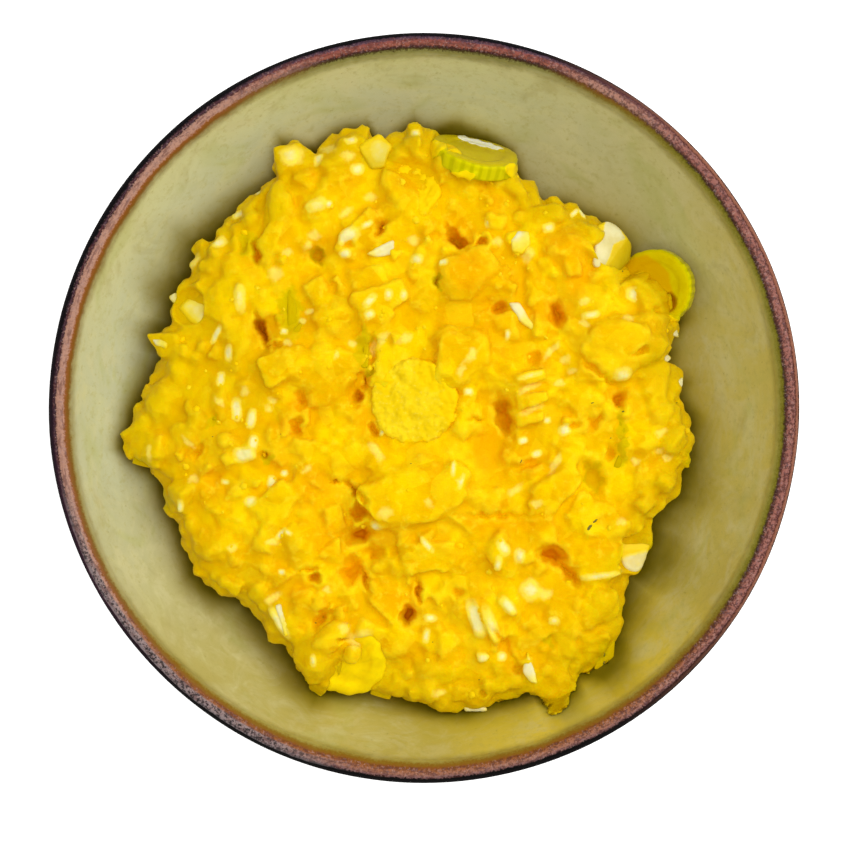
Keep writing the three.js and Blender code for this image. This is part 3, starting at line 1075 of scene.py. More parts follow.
# %% Chances, kinds and proportions of the small pieces
chance = random.Random(7)
SHARES = {"chunk": 48, "dice": 16, "slab": 10, "wedge": 8, "lump": 18}
PROPORTIONS = {
    "chunk": (1, 0.9, 0.75), "dice": (1, 0.85, 0.75), "slab": (1.2, 0.9, 0.4),
    "wedge": (1, 0.9, 0.6), "lump": (1, 0.9, 0.75),
}
kinds = [kind for kind, share in SHARES.items() for _ in range(share)]


def edge_place(turn, margin):
    """A place at the heap's edge in a given direction, moved in by a margin."""
    reach = float(reach_at(turn)) - margin
    return HEAP_X + reach * math.cos(turn), HEAP_Y + reach * math.sin(turn)


def random_place(margin):
    """A place on the heap off its smooth parts, at least a margin inside its edge."""
    while True:
        x, y = edge_place(chance.uniform(-math.pi, math.pi), margin)
        out = math.sqrt(chance.random())
        x = HEAP_X + out * (x - HEAP_X)
        y = HEAP_Y + out * (y - HEAP_Y)
        if not is_smooth(x, y):
            return x, y


def random_size(kind, length):
    """Length, width and height of a piece of a kind, each a little off."""
    return tuple(side * length * chance.uniform(0.85, 1.12) for side in PROPORTIONS[kind])


# %% Small pieces scattered between the large ones
SLOPE_STEP = 0.8
STEEPEST_SLOPE = 55
COARSE_PIECES = 230
FINE_PIECES = 240


def slope_at(x, y):
    """How steep the heap is at a place, in degrees, and the direction it faces."""
    step = SLOPE_STEP
    fall_x = (heap_height(x - step, y) - heap_height(x + step, y)) / (2 * step)
    fall_y = (heap_height(x, y - step) - heap_height(x, y + step)) / (2 * step)
    steepness = math.degrees(math.atan(math.hypot(fall_x, fall_y)))
    return min(steepness, STEEPEST_SLOPE), math.degrees(math.atan2(fall_y, fall_x))


def scatter_piece(number, length, proud):
    """One piece at a random place of the heap, leaning roughly with the slope."""
    x, y = random_place(0.5 * length)
    steepness, facing = slope_at(x, y)
    kind = chance.choice(kinds)
    size = random_size(kind, length)
    z = float(heap_height(x, y)) + proud - size[2] / 2
    lean = max(0, steepness + chance.uniform(-14, 18))
    spin = chance.uniform(0, 360)
    return lay(kind, number, (x, y, z), size, spin, lean, facing + chance.uniform(-60, 60))


laid += [
    scatter_piece(number, chance.uniform(5.0, 8.6), chance.uniform(-0.2, 0.7))
    for number in range(COARSE_PIECES)
]
laid += [
    scatter_piece(number, 2.4 + 2.6 * chance.random() ** 1.4, chance.uniform(0.0, 0.8))
    for number in range(FINE_PIECES)
]


# %% Ragged edge of the heap
EDGE_PIECES = 118
EDGE_ROWS = [
    # how far over the edge's height, how far in from the edge
    (2.6, -0.2), (-0.8, 0.8), (5.6, 2.4),
]


def edge_piece(number, height, margin):
    """One piece that pokes out at the heap's edge, or just under it."""
    length = chance.uniform(3.4, 7.4)
    turn = (number + chance.uniform(-0.4, 0.4)) / EDGE_PIECES * 2 * math.pi
    x, y = edge_place(turn, margin + 0.45 * length)
    lean = chance.uniform(5, 60)
    facing = math.degrees(turn) + chance.uniform(-40, 40)
    kind = chance.choice(["chunk", "dice", "lump", "chunk"])
    z = height + chance.uniform(-1.2, 1.8)
    size = random_size(kind, length)
    return lay(kind, number, (x, y, z), size, chance.uniform(0, 360), lean, facing)


for over, margin in EDGE_ROWS:
    laid += [edge_piece(number, EDGE_HEIGHT + over, margin) for number in range(EDGE_PIECES)]
draft = join([core] + laid, "salad_mass")
print(len(laid), "pieces of egg laid on the core")

# %% [markdown]
# ## Cuts of egg white among them
# Where a knife went through the white, a pale face shows. The places of these were read from
# the photo. A ray straight down finds what lies under each place, so that every cut is half
# sunk in it. They are joined in before the dressing is laid over everything, and their places
# are kept, because the dressing has to be thin there later.

# %% Places of the pale cuts
pale_cuts = [
    # kind, x, y, length, width, turn, how far it stands out, how much it is coated, and its
    # height if that isn't 2
    ("chunk", -17.6, 39.6, 5.4, 4.4, 55, 0.9, 0, 3.2),
    ("chunk", -18.2, 35.6, 3, 2.2, 20, 0.5, 0.1, 3), ("slab", -13.2, 42.2, 3.2, 1.4, 25, 0.5, 0.3),
    ("chunk", 4.3, 33.5, 2.6, 1.9, 0, 0.4, 0.1), ("slab", 35, 45.4, 3.4, 1.2, 45, 0.4, 0.1),
    ("slab", 36.6, 45.3, 3.2, 1.2, -45, 0.4, 0.1), ("chunk", 28.7, 42, 3.2, 2.4, 15, 0.5, 0.35),
    ("lump", 48.8, 26.3, 4.4, 3.6, -10, 0.3, 0.3), ("slab", -47.8, 17.1, 5, 1.5, 60, 0.6, 0, 3),
    ("chunk", -45, 12.8, 4, 2.1, 88, 0.5, 0.1, 3), ("chunk", -47, 6.7, 3.6, 2, 80, 0.4, 0.1),
    ("dice", -43.3, -0.3, 5.4, 2.5, 92, 0.6, 0, 3), ("dice", -39.8, -2.5, 4.8, 2.2, 82, 0.6, 0, 3),
    ("chunk", -39.4, -8, 3.6, 2.3, 85, 0.4, 0), ("dice", -40.8, -10.8, 5, 3.4, 10, 0.6, 0, 3),
    ("chunk", -35.2, -17, 3, 2.1, 85, 0.4, 0.05), ("chunk", -32.3, -15, 1.8, 1.6, 0, 0.4, 0.2),
    ("chunk", -46, -17, 2, 1.4, 0, 0.4, 0.3), ("chunk", -32.3, 17.7, 2, 1.7, 0, 0.4, 0.2),
    ("chunk", 10.2, 3.8, 2.4, 1.8, 0, 0.5, 0), ("slab", 6.7, -14, 4.2, 1.2, 84, 0.5, 0.2),
    ("slab", 8.4, -17.4, 5, 1.2, 76, 0.5, 0.15), ("slab", 19.3, 17, 2.8, 1.3, 84, 0.4, 0.2),
    ("dice", 38.5, 21.3, 4.4, 2, 10, 0.4, 0.35), ("chunk", 45.5, 7.8, 4.4, 4.2, 20, 0.4, 0.45, 3),
    ("dice", 32.5, -5, 3, 2.6, 30, 0.5, 0.1, 2.4), ("chunk", 28.4, -2.8, 1.8, 1.6, 0, 0.4, 0.2),
    ("chunk", 22.8, -7.5, 2.7, 1.8, 10, 0.4, 0.1), ("chunk", 26, -10.5, 2.6, 1.8, 20, 0.4, 0.15),
    ("slab", -33, -29, 3.6, 1.4, 45, 0.4, 0.2), ("slab", -31.3, -28.6, 2.4, 1.2, -30, 0.4, 0.3),
    ("chunk", -32.8, -37.8, 1.8, 1.6, 0, 0.3, 0.2),
    ("slab", -33.5, -49.5, 9, 2.2, -60, 0.6, 0.3, 3), ("chunk", -11, -27, 3, 2.8, 30, 0.7, 0.3, 3),
    ("chunk", 18.2, -32, 4.6, 2.8, -60, 0.5, 0.3), ("slab", 17, -35.6, 4, 1.8, 80, 0.4, 0.4),
    ("dice", 24.5, -42, 5, 5, 45, 0.5, 0.4, 3.4), ("slab", 19.2, -45.5, 5.4, 2.7, -50, 0.6, 0.3, 3),
    ("chunk", 13.7, -57.5, 3.4, 2.8, 10, 0.4, 0.3), ("chunk", 18, -57.7, 2.4, 2.3, 0, 0.4, 0.2),
    ("slab", -2, -69.4, 3, 1.4, 0, 0.2, 0.2), ("lump", -25.5, -58, 1.5, 3.6, 2, 0.5, 0.5),
    ("chunk", -2, 63.8, 2.4, 2, 10, 0.6, 0.3, 3), ("slab", -42.5, 25.5, 7.4, 2.8, 92, 0.7, 0.55, 3),
    ("chunk", -31, 58.4, 5, 5, 30, 0.5, 0.55, 4), ("chunk", -24.6, 46.6, 7, 4, 15, 0.6, 0.7, 3),
    ("slab", 40.6, -38.6, 11, 1.8, 6, 0.4, 0.5, 3), ("slab", 15.2, -49.4, 9, 3, -70, 0.6, 0.6, 3),
    ("chunk", -47.8, 38.2, 3.6, 2.8, 30, 0.4, 0.35), ("chunk", -38.5, 50.2, 3.2, 3, 0, 0.4, 0.4),
    ("slab", -43, 45.4, 4.4, 1.8, 20, 0.4, 0.35), ("chunk", -15.5, 55.4, 3.2, 2.8, 10, 0.4, 0.35),
    ("chunk", -17, 62, 3.2, 2.4, 20, 0.3, 0.35), ("chunk", -24.3, 57.8, 2.4, 3.8, 0, 0.4, 0.4),
    ("chunk", -1.6, 34.2, 3.2, 2.6, 0, 0.4, 0.4), ("chunk", -8.2, 26, 2.8, 2, 80, 0.4, 0.3),
    ("slab", -12.4, 24.6, 4.2, 2.2, 50, 0.4, 0.35), ("chunk", -4.7, 26, 1.9, 2.7, 0, 0.4, 0.35),
    ("chunk", -12.5, 21.5, 2.6, 2.2, 30, 0.4, 0.3), ("slab", 0.5, -31, 4.8, 1.5, -50, 0.5, 0.3),
    ("chunk", 1.5, -48.5, 3.2, 2.1, 0, 0.4, 0.35), ("slab", 0.5, -52.5, 3.8, 1.7, 80, 0.4, 0.35),
    ("chunk", -40, -21.5, 3.2, 2.7, 20, 0.4, 0.3), ("slab", -56.2, -22.5, 3.8, 1.7, 82, 0.4, 0.25),
    ("chunk", 22, -34, 4, 2.6, 80, 0.5, 0.3, 2.4), ("chunk", 15, 43, 2.8, 2.2, 90, 0.4, 0.4),
    ("chunk", -22, 47, 2.2, 1.8, 0, 0.4, 0.35), ("dice", 24.3, 7.4, 6.6, 1.4, 15, 0.4, 0.6),
    ("slab", -9.5, -5.4, 3, 1.2, 45, 0.6, 0.4), ("chunk", 30, -49, 2.6, 2.2, 10, 0.4, 0.5),
    ("slab", 11.8, -48.6, 9.5, 3.2, -75, 0.4, 0.1, 2.4),
]

# %% Lay a copy on another piece
HIGH_ABOVE = 100
STEEPEST_LEAN = 24


def surface_under(piece, x, y):
    """The height of a piece's upper side at a place, and the direction it faces."""
    above = Vector((x, y, HIGH_ABOVE)) * MM
    hit, place, normal, _ = piece.ray_cast(above, Vector((0, 0, -1)))
    return (place.z / MM, normal) if hit else (None, None)


def tilt_of(normal):
    """How steep a surface is, in degrees, and the direction it faces."""
    steepness = math.degrees(math.acos(max(-1.0, min(1.0, normal.z))))
    return steepness, math.degrees(math.atan2(normal.y, normal.x))


def lay_on(piece, kind, number, x, y, size, turn, proud, lean=0.35):
    """Lays a copy on a piece, so that it stands out a little and leans with the slope there."""
    height, normal = surface_under(piece, x, y)
    if normal is None:
        return None
    steepness, facing = tilt_of(normal)
    middle = height + proud - size[2] / 2
    tilt = min(steepness * lean, STEEPEST_LEAN)
    return lay(kind, number, (x, y, middle), size, turn, tilt, facing)


# %% Lay the pale cuts
CUT_HEIGHT = 2
cut_copies = []
cut_frames = []
for number, (kind, x, y, length, width, turn, proud, coat, *height) in enumerate(pale_cuts):
    size = (length, width, height[0] if height else CUT_HEIGHT)
    copy = lay_on(draft, kind, number, x, y, size, turn, proud)
    if copy:
        cut_copies.append(copy)
        cut_frames.append((copy.matrix_world.inverted(), coat))
print(len(cut_copies), "pale cuts laid")

# %% [markdown]
# ## Dressing over everything
# The dressing fills the cracks and rounds every edge. Joining all pieces with the core and
# remeshing them by voxels gives just that: one skin that runs over the pieces with soft
# creases between them. Voids that the pieces enclose are hidden, so their skins are removed.

# %% Join and cover
VOXEL = 0.5

mass = join([draft] + cut_copies, "salad_mass")
modify(mass, "REMESH", mode="VOXEL", voxel_size=VOXEL * MM, adaptivity=0)
print("after the cover:", triangles_of(mass), "triangles")

# %% Remove the hidden skins
def keep_outer_skin(piece):
    """Keeps the skin that the piece's outermost point belongs to and removes every other one."""
    outermost = int(np.argmax(np.abs(points_of(piece)).max(axis=1)))
    begin_edit(piece)
    bpy.ops.mesh.select_all(action="DESELECT")
    end_edit()
    piece.data.vertices[outermost].select = True
    bpy.ops.object.mode_set(mode="EDIT")
    bpy.ops.mesh.select_linked()
    bpy.ops.mesh.select_all(action="INVERT")
    bpy.ops.mesh.delete(type="VERT")
    end_edit()


keep_outer_skin(mass)
print("outer skin alone:", triangles_of(mass), "triangles")

# %% Places of the crevices
crevices = [
    # x, y, length, width, turn, depth
    (-15.2, 2.8, 2.8, 1.8, 60, 4.5), (-13, 7, 6, 1.5, 62, 2.5), (-12, 13.5, 8, 1.6, 88, 2),
    (-11.5, -5, 2.8, 1.8, 130, 3), (18.6, -1.8, 9.5, 3.6, 105, 3.8), (18.5, 0.2, 3, 3, 90, 1.5),
    (11.8, -2.6, 4, 1, 0, 2.5), (7.5, 3.7, 2.5, 1.2, 0, 1), (-38.8, 36, 5.5, 1.8, 100, 4),
    (-24.8, 35.5, 4.4, 2.4, 110, 3), (-10, 41.5, 3.8, 1.8, 60, 3.8), (7, 39.8, 7, 2.4, -50, 2.5),
    (8.2, 38, 4.5, 3, -40, 3.5), (13.3, 38.3, 3.4, 1.8, 20, 3.4), (17.3, 23, 3, 2.4, 30, 3.5),
    (3, 29, 3, 1, 90, 3), (30.7, 21.8, 6.5, 3, 100, 3.8), (-37.6, 18, 7.6, 1.9, 112, 6),
    (-35, 14.3, 5, 1.6, 15, 3), (-28, 2, 5, 3.2, 90, 2), (-29.5, -4.2, 4.4, 2.6, 80, 3),
    (-36.6, -10.6, 1.6, 1.3, 0, 3.5), (25.5, 11.5, 3.6, 2.5, 90, 2), (49.8, 13, 4, 1.2, 20, 2.4),
    (40, 8.2, 10, 1.5, -38, 2), (45, 1.8, 4, 2.4, 90, 3.5), (43, -10.3, 3.4, 1.4, 100, 2),
    (39.3, -16, 8, 5, 100, 2), (39.5, -3, 5, 3, 60, 2.5), (-15.5, -19.5, 8, 1.8, -45, 3),
    (-20.7, -17, 2, 1, 0, 3), (-15, -29.5, 5.6, 3.8, 15, 5), (-15, -24, 4, 4, 90, 4),
    (-12.5, -33.5, 6, 4.5, 0, 3), (-16.5, -37.5, 7, 5, 60, 3.5), (-13.5, -40, 5.5, 1.6, 105, 3.4),
    (-1.3, -42.5, 5.5, 1.2, 92, 4), (-3.7, -48, 4.4, 2.8, 75, 6), (8, -42.5, 2.6, 2, 0, 2),
    (17.5, -53, 7, 1.6, -52, 1.5), (21, -59, 7, 1.6, -65, 1), (-25.3, -39.3, 3.2, 2, 0, 3.5),
    (-26.5, -37.2, 5, 1, 10, 2.5), (-24, -48.5, 7, 1.6, 60, 2), (29.5, -34, 6.4, 4.2, -20, 4.6),
    (33.5, -38.2, 7, 2.3, -48, 3), (13.5, -66, 2.6, 1.6, 90, 2), (22.5, -60.5, 3, 2.4, 0, 1),
    (-6, -33, 5, 2.4, 20, 1), (-49, -16, 4, 3, 30, 1), (-52, -9.5, 5, 1.2, 60, 2),
    (24.5, -13, 7, 1.6, 20, 1.5), (34.6, -4, 4, 1.4, 30, 2), (-17.5, 37.8, 3, 2.4, 0, 2),
    (17, -24.8, 19, 1.2, 0, 1.5), (-20.6, -62, 8, 1.2, 80, 2), (-22.6, -48, 6, 1.2, 40, 1.5),
]

# %% Crevices pressed in between the pieces
CREVICE_BEND = 0.6
CREVICE_RIM = 1.4
CREVICE_SLOPE = 1.1
DEEPEST_UNDER_TOP = 9


def bent(x, y, share=1.0):
    """Bends the plane a little, so that what is drawn on it gets uneven outlines."""
    bent_x = x + share * (0.5 * np.sin(1.7 * y + 0.8 * x) + 0.2 * np.sin(4.1 * y - 1.3 * x))
    bent_y = y + share * (0.5 * np.sin(1.9 * x - 0.7 * y) + 0.2 * np.sin(4.7 * x + 1.9 * y))
    return bent_x, bent_y


def press(piece, marks):
    """Presses narrow hollows with ragged outlines into the upper side of a piece."""
    rows = points_of(piece)
    facing_up = normals_of(piece)[:, 2] > -0.3
    near_top = facing_up & (rows[:, 2] > heap_height(rows[:, 0], rows[:, 1]) - DEEPEST_UNDER_TOP)
    bent_x, bent_y = bent(rows[:, 0], rows[:, 1], CREVICE_BEND)
    for *oval, depth in marks:
        distance = oval_distance(bent_x, bent_y, *oval)
        fall = np.clip((CREVICE_RIM - distance) / CREVICE_SLOPE, 0, 1)
        fall = fall * fall * (3 - 2 * fall)
        rows[:, 2] -= np.where(near_top, depth * fall, 0)
    move_points(piece, rows)


modify(mass, "SMOOTH", factor=0.5, iterations=8)
press(mass, crevices)
modify(mass, "SMOOTH", factor=0.5, iterations=2)

# %% Fine unevenness of the dressing
roughen(mass, "folds", 5.5, 1.1, detail=2)
roughen(mass, "grains", 1.7, 0.36)
modify(mass, "SMOOTH", factor=0.4, iterations=1)
move_points(mass, keep_in_bowl(points_of(mass)))
print("mass:", triangles_of(mass), "triangles")

# %% [markdown]
# ## Rooms for the slices
# The slices, rounds and large cuts of egg white are pieces of their own. The heap gives way to
# them: every point of its skin that would lie on top of one is pressed down below that piece's
# upper face, except where the photo shows dressing run over it. Their places are read from the
# measured model, and only the way each one leans is repeated here.

# %% Places of the slices, and of the dressing on them
slabs = {
    # radius or half length, thickness, lean, towards, turn, how far it stands out of the dressing
    "pickle_slice_top": (10.3, 4.4, 64, 76, 0, 1.5),
    "pickle_slice_right": (9.2, 4.2, 26, 195, 8, 1.5),
    "pickle_slice_lower_left": (8.8, 4.0, 20, 262, 4, 1.0),
    "yolk_slice_middle": (10.2, 5.0, 6, 230, 0, 0.5),
    "yolk_slice_top": (7.4, 4.0, 20, 120, 40, 0.5),
    "egg_white_right": (6.2, 6.0, 22, 40, 62, 1.6),
    "egg_white_lower_right": (7.0, 5.0, 16, 320, 80, 0.4),
    "egg_white_upper_left": (4.2, 5.0, 14, 100, 60, 0.4),
    "egg_white_left": (4.5, 4.6, 22, 165, 50, 0.4),
}
dressing_over = {
    # x, y, length, width, turn of the dressing that lies on the slice
    "pickle_slice_top": [(4.8, 57.8, 9, 8), (11, 53.6, 10, 5, -15)],
    "pickle_slice_right": [(49.5, 22.5, 13, 17, 20)],
    "pickle_slice_lower_left": [(-25.5, -57, 13, 22), (-17.2, -56.4, 6.5, 6), (-17, -51, 12, 5)],
    "yolk_slice_middle": [
        (7, 13, 24, 12), (-8, 12, 12, 6, 20), (10.6, 1, 8, 26), (-14, 2, 6, 24),
    ],
    "yolk_slice_top": [(-6.2, 44.7, 26, 16, -57)],
    "egg_white_right": [(38.6, 41.5, 7, 8, 60)],
    "egg_white_lower_right": [(45, -26.5, 14, 8), (43.4, -32, 6, 12)],
    "egg_white_upper_left": [(-15.6, 56.6, 6, 7), (-12, 55.6, 12, 4.4)],
    "egg_white_left": [(-48, 25, 7, 8)],
}


# %% Room for each slice
REACH_ABOVE_SLICE = 9
ROOM_RIM = 1.03
ROOM_SLOPE = 0.12
DRESSING_RIM = 0.88
DRESSING_SLOPE = 0.2


def placed(name):
    """Where a slice's own middle and upright direction are, as a matrix in millimetres."""
    lowest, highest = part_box(name)
    middle = (Vector(lowest) + Vector(highest)) / 2 / MM
    lean, towards, turn = slabs[name][2:5]
    return Matrix.Translation(middle) @ turned(turn, lean, towards)


def moved_by(points, matrix):
    """Points after a matrix has turned and moved them."""
    matrix = np.array(matrix)
    return points @ matrix[:3, :3].T + matrix[:3, 3]


def give_room(piece, name):
    """Presses a skin down below a slice's upper face, wherever it lies under that face."""
    radius, thickness = slabs[name][:2]
    clear = slabs[name][5]
    rows = points_of(piece)
    local = moved_by(rows, placed(name).inverted())
    distance = np.hypot(local[:, 0], local[:, 1]) / radius
    cover = np.clip((ROOM_RIM - distance) / ROOM_SLOPE, 0, 1)
    for oval in dressing_over[name]:
        over_it = oval_distance(rows[:, 0], rows[:, 1], *oval)
        cover = cover * np.clip((over_it - DRESSING_RIM) / DRESSING_SLOPE, 0, 1)
    target = thickness / 2 - clear
    over = (local[:, 2] > target) & (local[:, 2] < thickness / 2 + REACH_ABOVE_SLICE)
    pressed = local[:, 2] + (target - local[:, 2]) * cover
    local[:, 2] = np.where(over, pressed, local[:, 2])
    move_points(piece, moved_by(local, placed(name)))


for name in slabs:
    give_room(mass, name)
print("the dressing gives way to", len(slabs), "slices")

# %% [markdown]
# ## Thin out what nobody sees
# The skin against the bowl's wall is hidden and smooth, so it needs few faces. A first collapse
# is weighted to the underside, and a second one takes the rest from the flattest places.

# %% Coarser underside
MOST_TRIANGLES = 196000
HIDDEN_DEPTH = 8
HIDDEN_DEPTH_FACING_DOWN = 2.5
HIDDEN_WEIGHT = 1000


def thin_underside(piece, most):
    """Collapses hidden faces until a piece has no more than a given number of triangles."""
    count = triangles_of(piece)
    rows = points_of(piece)
    below = heap_height(rows[:, 0], rows[:, 1]) - rows[:, 2]
    facing_down = normals_of(piece)[:, 2] < -0.3
    hidden = (below > HIDDEN_DEPTH) | (facing_down & (below > HIDDEN_DEPTH_FACING_DOWN))
    group = piece.vertex_groups.new(name="underside")
    group.add([int(index) for index in np.flatnonzero(hidden)], 1.0, "REPLACE")
    modify(
        piece, "DECIMATE", ratio=min(1, most / count),
        vertex_group="underside", vertex_group_factor=HIDDEN_WEIGHT,
    )
    modify(piece, "DECIMATE", ratio=min(1, most / triangles_of(piece)))
    print("thinned from", count, "to", triangles_of(piece), "triangles")


thin_underside(mass, MOST_TRIANGLES)
keep_outer_skin(mass)
move_points(mass, keep_in_bowl(points_of(mass)))

# %% [markdown]
# ## How deep and how pale
# Light that bounces between yellow walls turns orange, and that orange is painted into the hollows
# as shade; where the dressing is thin the egg white shows through. Both follow the shape, so they
# are measured on it: a point's depth below its smoothed surroundings, and its distance from places
# where white shows.

# %% Depth of hollows
NEAR_ROUNDS = 6
WIDE_ROUNDS = 60


def edges_of(piece):
    """The two ends of each edge, as numbers of points."""
    pairs = np.empty(len(piece.data.edges) * 2, dtype=np.int32)
    piece.data.edges.foreach_get("vertices", pairs)
    return pairs.reshape(-1, 2)


def smoothed(rows, pairs, rounds):
    """Points after moving each to the mean of its neighbours a number of times."""
    count = len(rows)
    both = np.concatenate([pairs[:, 0], pairs[:, 1]])
    other = np.concatenate([pairs[:, 1], pairs[:, 0]])
    links = np.maximum(np.bincount(both, minlength=count), 1)
    for _ in range(rounds):
        sums = [np.bincount(both, weights=rows[other, axis], minlength=count) for axis in range(3)]
        rows = np.stack(sums, axis=1) / links[:, None]
    return rows


def measure_hollows(piece):
    """Stores how far each point lies below its surroundings, narrow and wide, in millimetres."""
    rows = points_of(piece)
    normals = normals_of(piece)
    pairs = edges_of(piece)
    near = smoothed(rows, pairs, NEAR_ROUNDS)
    wide = smoothed(near, pairs, WIDE_ROUNDS)
    below_wide = ((wide - rows) * normals).sum(axis=1)
    store(piece, "crease", ((near - rows) * normals).sum(axis=1))
    store(piece, "hollow", below_wide)
    return below_wide


depth = measure_hollows(mass)
print("hollows from", round(float(depth.min()), 2), "to", round(float(depth.max()), 2), "mm")

# %% Painted shade in each crevice
DARKEST_DEPTH = 5
SHADE_RIM = 1.5


def paint_crevices(piece, marks):
    """Stores the painted shade of the crevices: 1 in deep ones, less in shallow ones and 0 outside
    them.
    """
    rows = points_of(piece)
    value = np.zeros(len(rows))
    bent_x, bent_y = bent(rows[:, 0], rows[:, 1], CREVICE_BEND)
    for *oval, depth in marks:
        distance = oval_distance(bent_x, bent_y, *oval)
        share = np.clip((SHADE_RIM - distance) / CREVICE_SLOPE, 0, 1)
        value = np.maximum(value, share * min(1, depth / DARKEST_DEPTH))
    store(piece, "gap", value)


paint_crevices(mass, crevices)

# %% Places where egg white shows through the dressing
soft_whites = [
    # x, y, length, width, turn
    (-54, 34, 4, 1.6, 60), (-34.3, 31, 3, 2.6), (-31.5, 36, 2, 1.6), (-25.5, 40, 2.4, 2),
    (-27, 37.5, 2, 1.6, 40), (-22, 60.3, 2.6, 2), (-17.5, 58.5, 2.6, 2), (-12.5, 48.9, 2.4, 1.8),
    (-18, 45.3, 3, 1.8, 30), (17, 38.5, 2, 1.6), (24, 35.5, 3, 2, 70), (-2.5, 38.7, 2.4, 1.8),
    (37, 24.5, 2.2, 1.6), (36.8, 19.5, 2, 1.4), (47, 20.7, 2, 1.4), (32.5, 11.2, 2, 1.6),
    (34, 8.7, 1.8, 1.4), (29.5, 13.4, 3.8, 1.3, 45), (31, 5.7, 1.8, 1.4), (30.2, -13, 4.4, 1.5, 62),
    (55, -5.5, 2.4, 1.6, 40), (49, -12.3, 2, 1.6), (56.5, -11.5, 2, 1.5), (54.5, -10, 1.8, 1.3),
    (-41.5, 4, 2, 1.6, 60), (-35, 1.8, 2, 1.5), (-35.8, 0, 1.8, 1.4), (-28, 20.3, 1.8, 1.3),
    (-26.5, 22.3, 1.6, 1.2), (-31.5, 15, 1.8, 1.4), (-53.5, -16.5, 2, 1.6),
    (-54.5, -8, 3.2, 1.1, 130), (-47.2, 1.5, 2.6, 1.1, 130), (-16.7, 15, 1.8, 1.3),
    (-11.8, 13.7, 2.6, 1.1, 80), (-20.2, 12, 2, 1, 80), (10.8, 12, 3, 1.6, 70),
    (8.5, 8.5, 3, 1.4, 80), (-44.2, -32.2, 2, 1.6), (-35, -31, 3, 1.2), (-22.5, -42, 1.8, 1.4),
    (-9, -24, 3, 2.2, 40), (1, -22, 2, 1.6), (3.5, -66, 2.4, 1.6), (-18.3, -50.5, 2.4, 1.8),
    (45.6, -26.3, 2, 1.6), (26, -22, 2, 1.6), (-35, -44, 3.4, 1.6, 30), (-11, -10, 4.6, 1.8, 125),
    (28, -43, 3, 2), (-4.5, 16, 3.4, 1.6, 30), (-9.5, 16, 3.4, 1.6, 55), (24, 4.5, 4.6, 1.3, 25),
    (24.5, -0.5, 4.4, 1.3, 20), (21, -19, 3, 1.6, 40), (-27, -14, 2.4, 1.4, 30),
    (-15, -53, 5, 3, 20), (-30, 58, 4, 3, 30), (-63.6, -10.5, 1.2, 3.4), (-14, -62, 3, 1.6, 60),
]

# %% Numbers for spots and for the pale cuts
def paint_spots(piece, name, spots, reach=1.7, bend=1.0):
    """Stores a number that is 1 in the middle of each spot and 0 beyond reach times its oval."""
    rows = points_of(piece)
    bent_x, bent_y = bent(rows[:, 0], rows[:, 1], bend)
    value = np.zeros(len(rows))
    up = normals_of(piece)[:, 2] > -0.2
    for oval in spots:
        distance = oval_distance(bent_x, bent_y, *oval)
        value = np.maximum(value, np.clip(1 - distance / reach, 0, 1) * up)
    store(piece, name, value)


def paint_pale_cuts(piece, name, frames):
    """Stores how bare each cut of white is: 1 on its upper face if nothing covers it."""
    rows = points_of(piece) * MM
    value = np.zeros(len(rows))
    for inverse, coat in frames:
        local = moved_by(rows, inverse)
        inside = (np.abs(local) < 0.8).all(axis=1)
        u, v, w = local[inside].T
        plan = ((2 * np.abs(u)) ** 3 + (2 * np.abs(v)) ** 3) ** (1 / 3)
        face = np.clip((1.3 - plan) / 1.0, 0, 1) * np.clip((w + 0.15) / 0.3, 0, 1)
        value[inside] = np.maximum(value[inside], face * (1 - 0.55 * coat))
    store(piece, name, value)


paint_spots(mass, "thin_coat", soft_whites, 1.9, 0.35)
paint_pale_cuts(mass, "bare", cut_frames)

# %% Painted shade on the heap's edge and on its left flank
rows = points_of(mass)
outer = np.clip((share_out(rows[:, 0], rows[:, 1]) - 0.76) / 0.24, 0, 1)
left_flank = np.clip((-rows[:, 0] - 20) / 30, 0, 1) * np.clip((rows[:, 1] + 25) / 25, 0, 1)
store(mass, "outer", np.maximum(outer, 0.6 * left_flank))

# %% Places where gherkin or clear dressing lies under the skin
olive_places = [
    (-14, 14, 9, 4, 80), (-31, 22, 13, 6, 95), (-57, 30.5, 4, 3, 60), (-24.8, 35.5, 5, 3, 110),
    (-65, -12.4, 5, 1.8, -20), (-61, -22, 5, 6, 60), (42.5, -58, 4, 9, 10), (45.8, -7, 14, 2.4, 92),
    (28.5, -54, 3, 3), (62, -12, 2, 5), (-12.5, 8.6, 2.4, 2.4), (-36, -12, 3, 3), (-16, -62, 8, 5),
    (39.3, -16, 8, 4.6, 100), (-49, -3, 3, 3), (-41, 38, 4, 6), (3, 29, 2, 4),
]
paint_spots(mass, "olive", olive_places, 1.5)
# Orange patches in the dressing, partly its own deeper orange and partly painted shade left of the
# middle.
orange_places = [
    (10, 31, 14, 13), (15, -10, 12, 16), (33, 37, 13, 12), (-28, 1, 7, 9, 90), (8, 40, 10, 8),
    (-49, -16, 6, 5, 30), (17, 23, 7, 5, 30), (29, 22, 8, 12, 90), (-17, -38, 9, 9),
    (18, -27, 18, 4), (-10, -30, 10, 6), (32, -36, 9, 7, -45), (44, 3, 6, 8, 90),
    (26, 12, 6, 7, 90), (-14, -3, 7, 10, 120), (-37, 18, 5, 9, 110), (25, -13, 8, 5, 20),
    (-53, -10, 7, 6, 60), (-25, 55, 6, 4), (-5, -45, 10, 8), (19, -56, 5, 14, 20), (-31, -4, 6, 5),
    (36, 30, 10, 6, 40), (-25, -18, 12, 12), (-34, -14, 9, 7), (-24, -29, 9, 12),
    (-29, -42, 8, 6, 30),
]
paint_spots(mass, "deep", orange_places, 1.4)

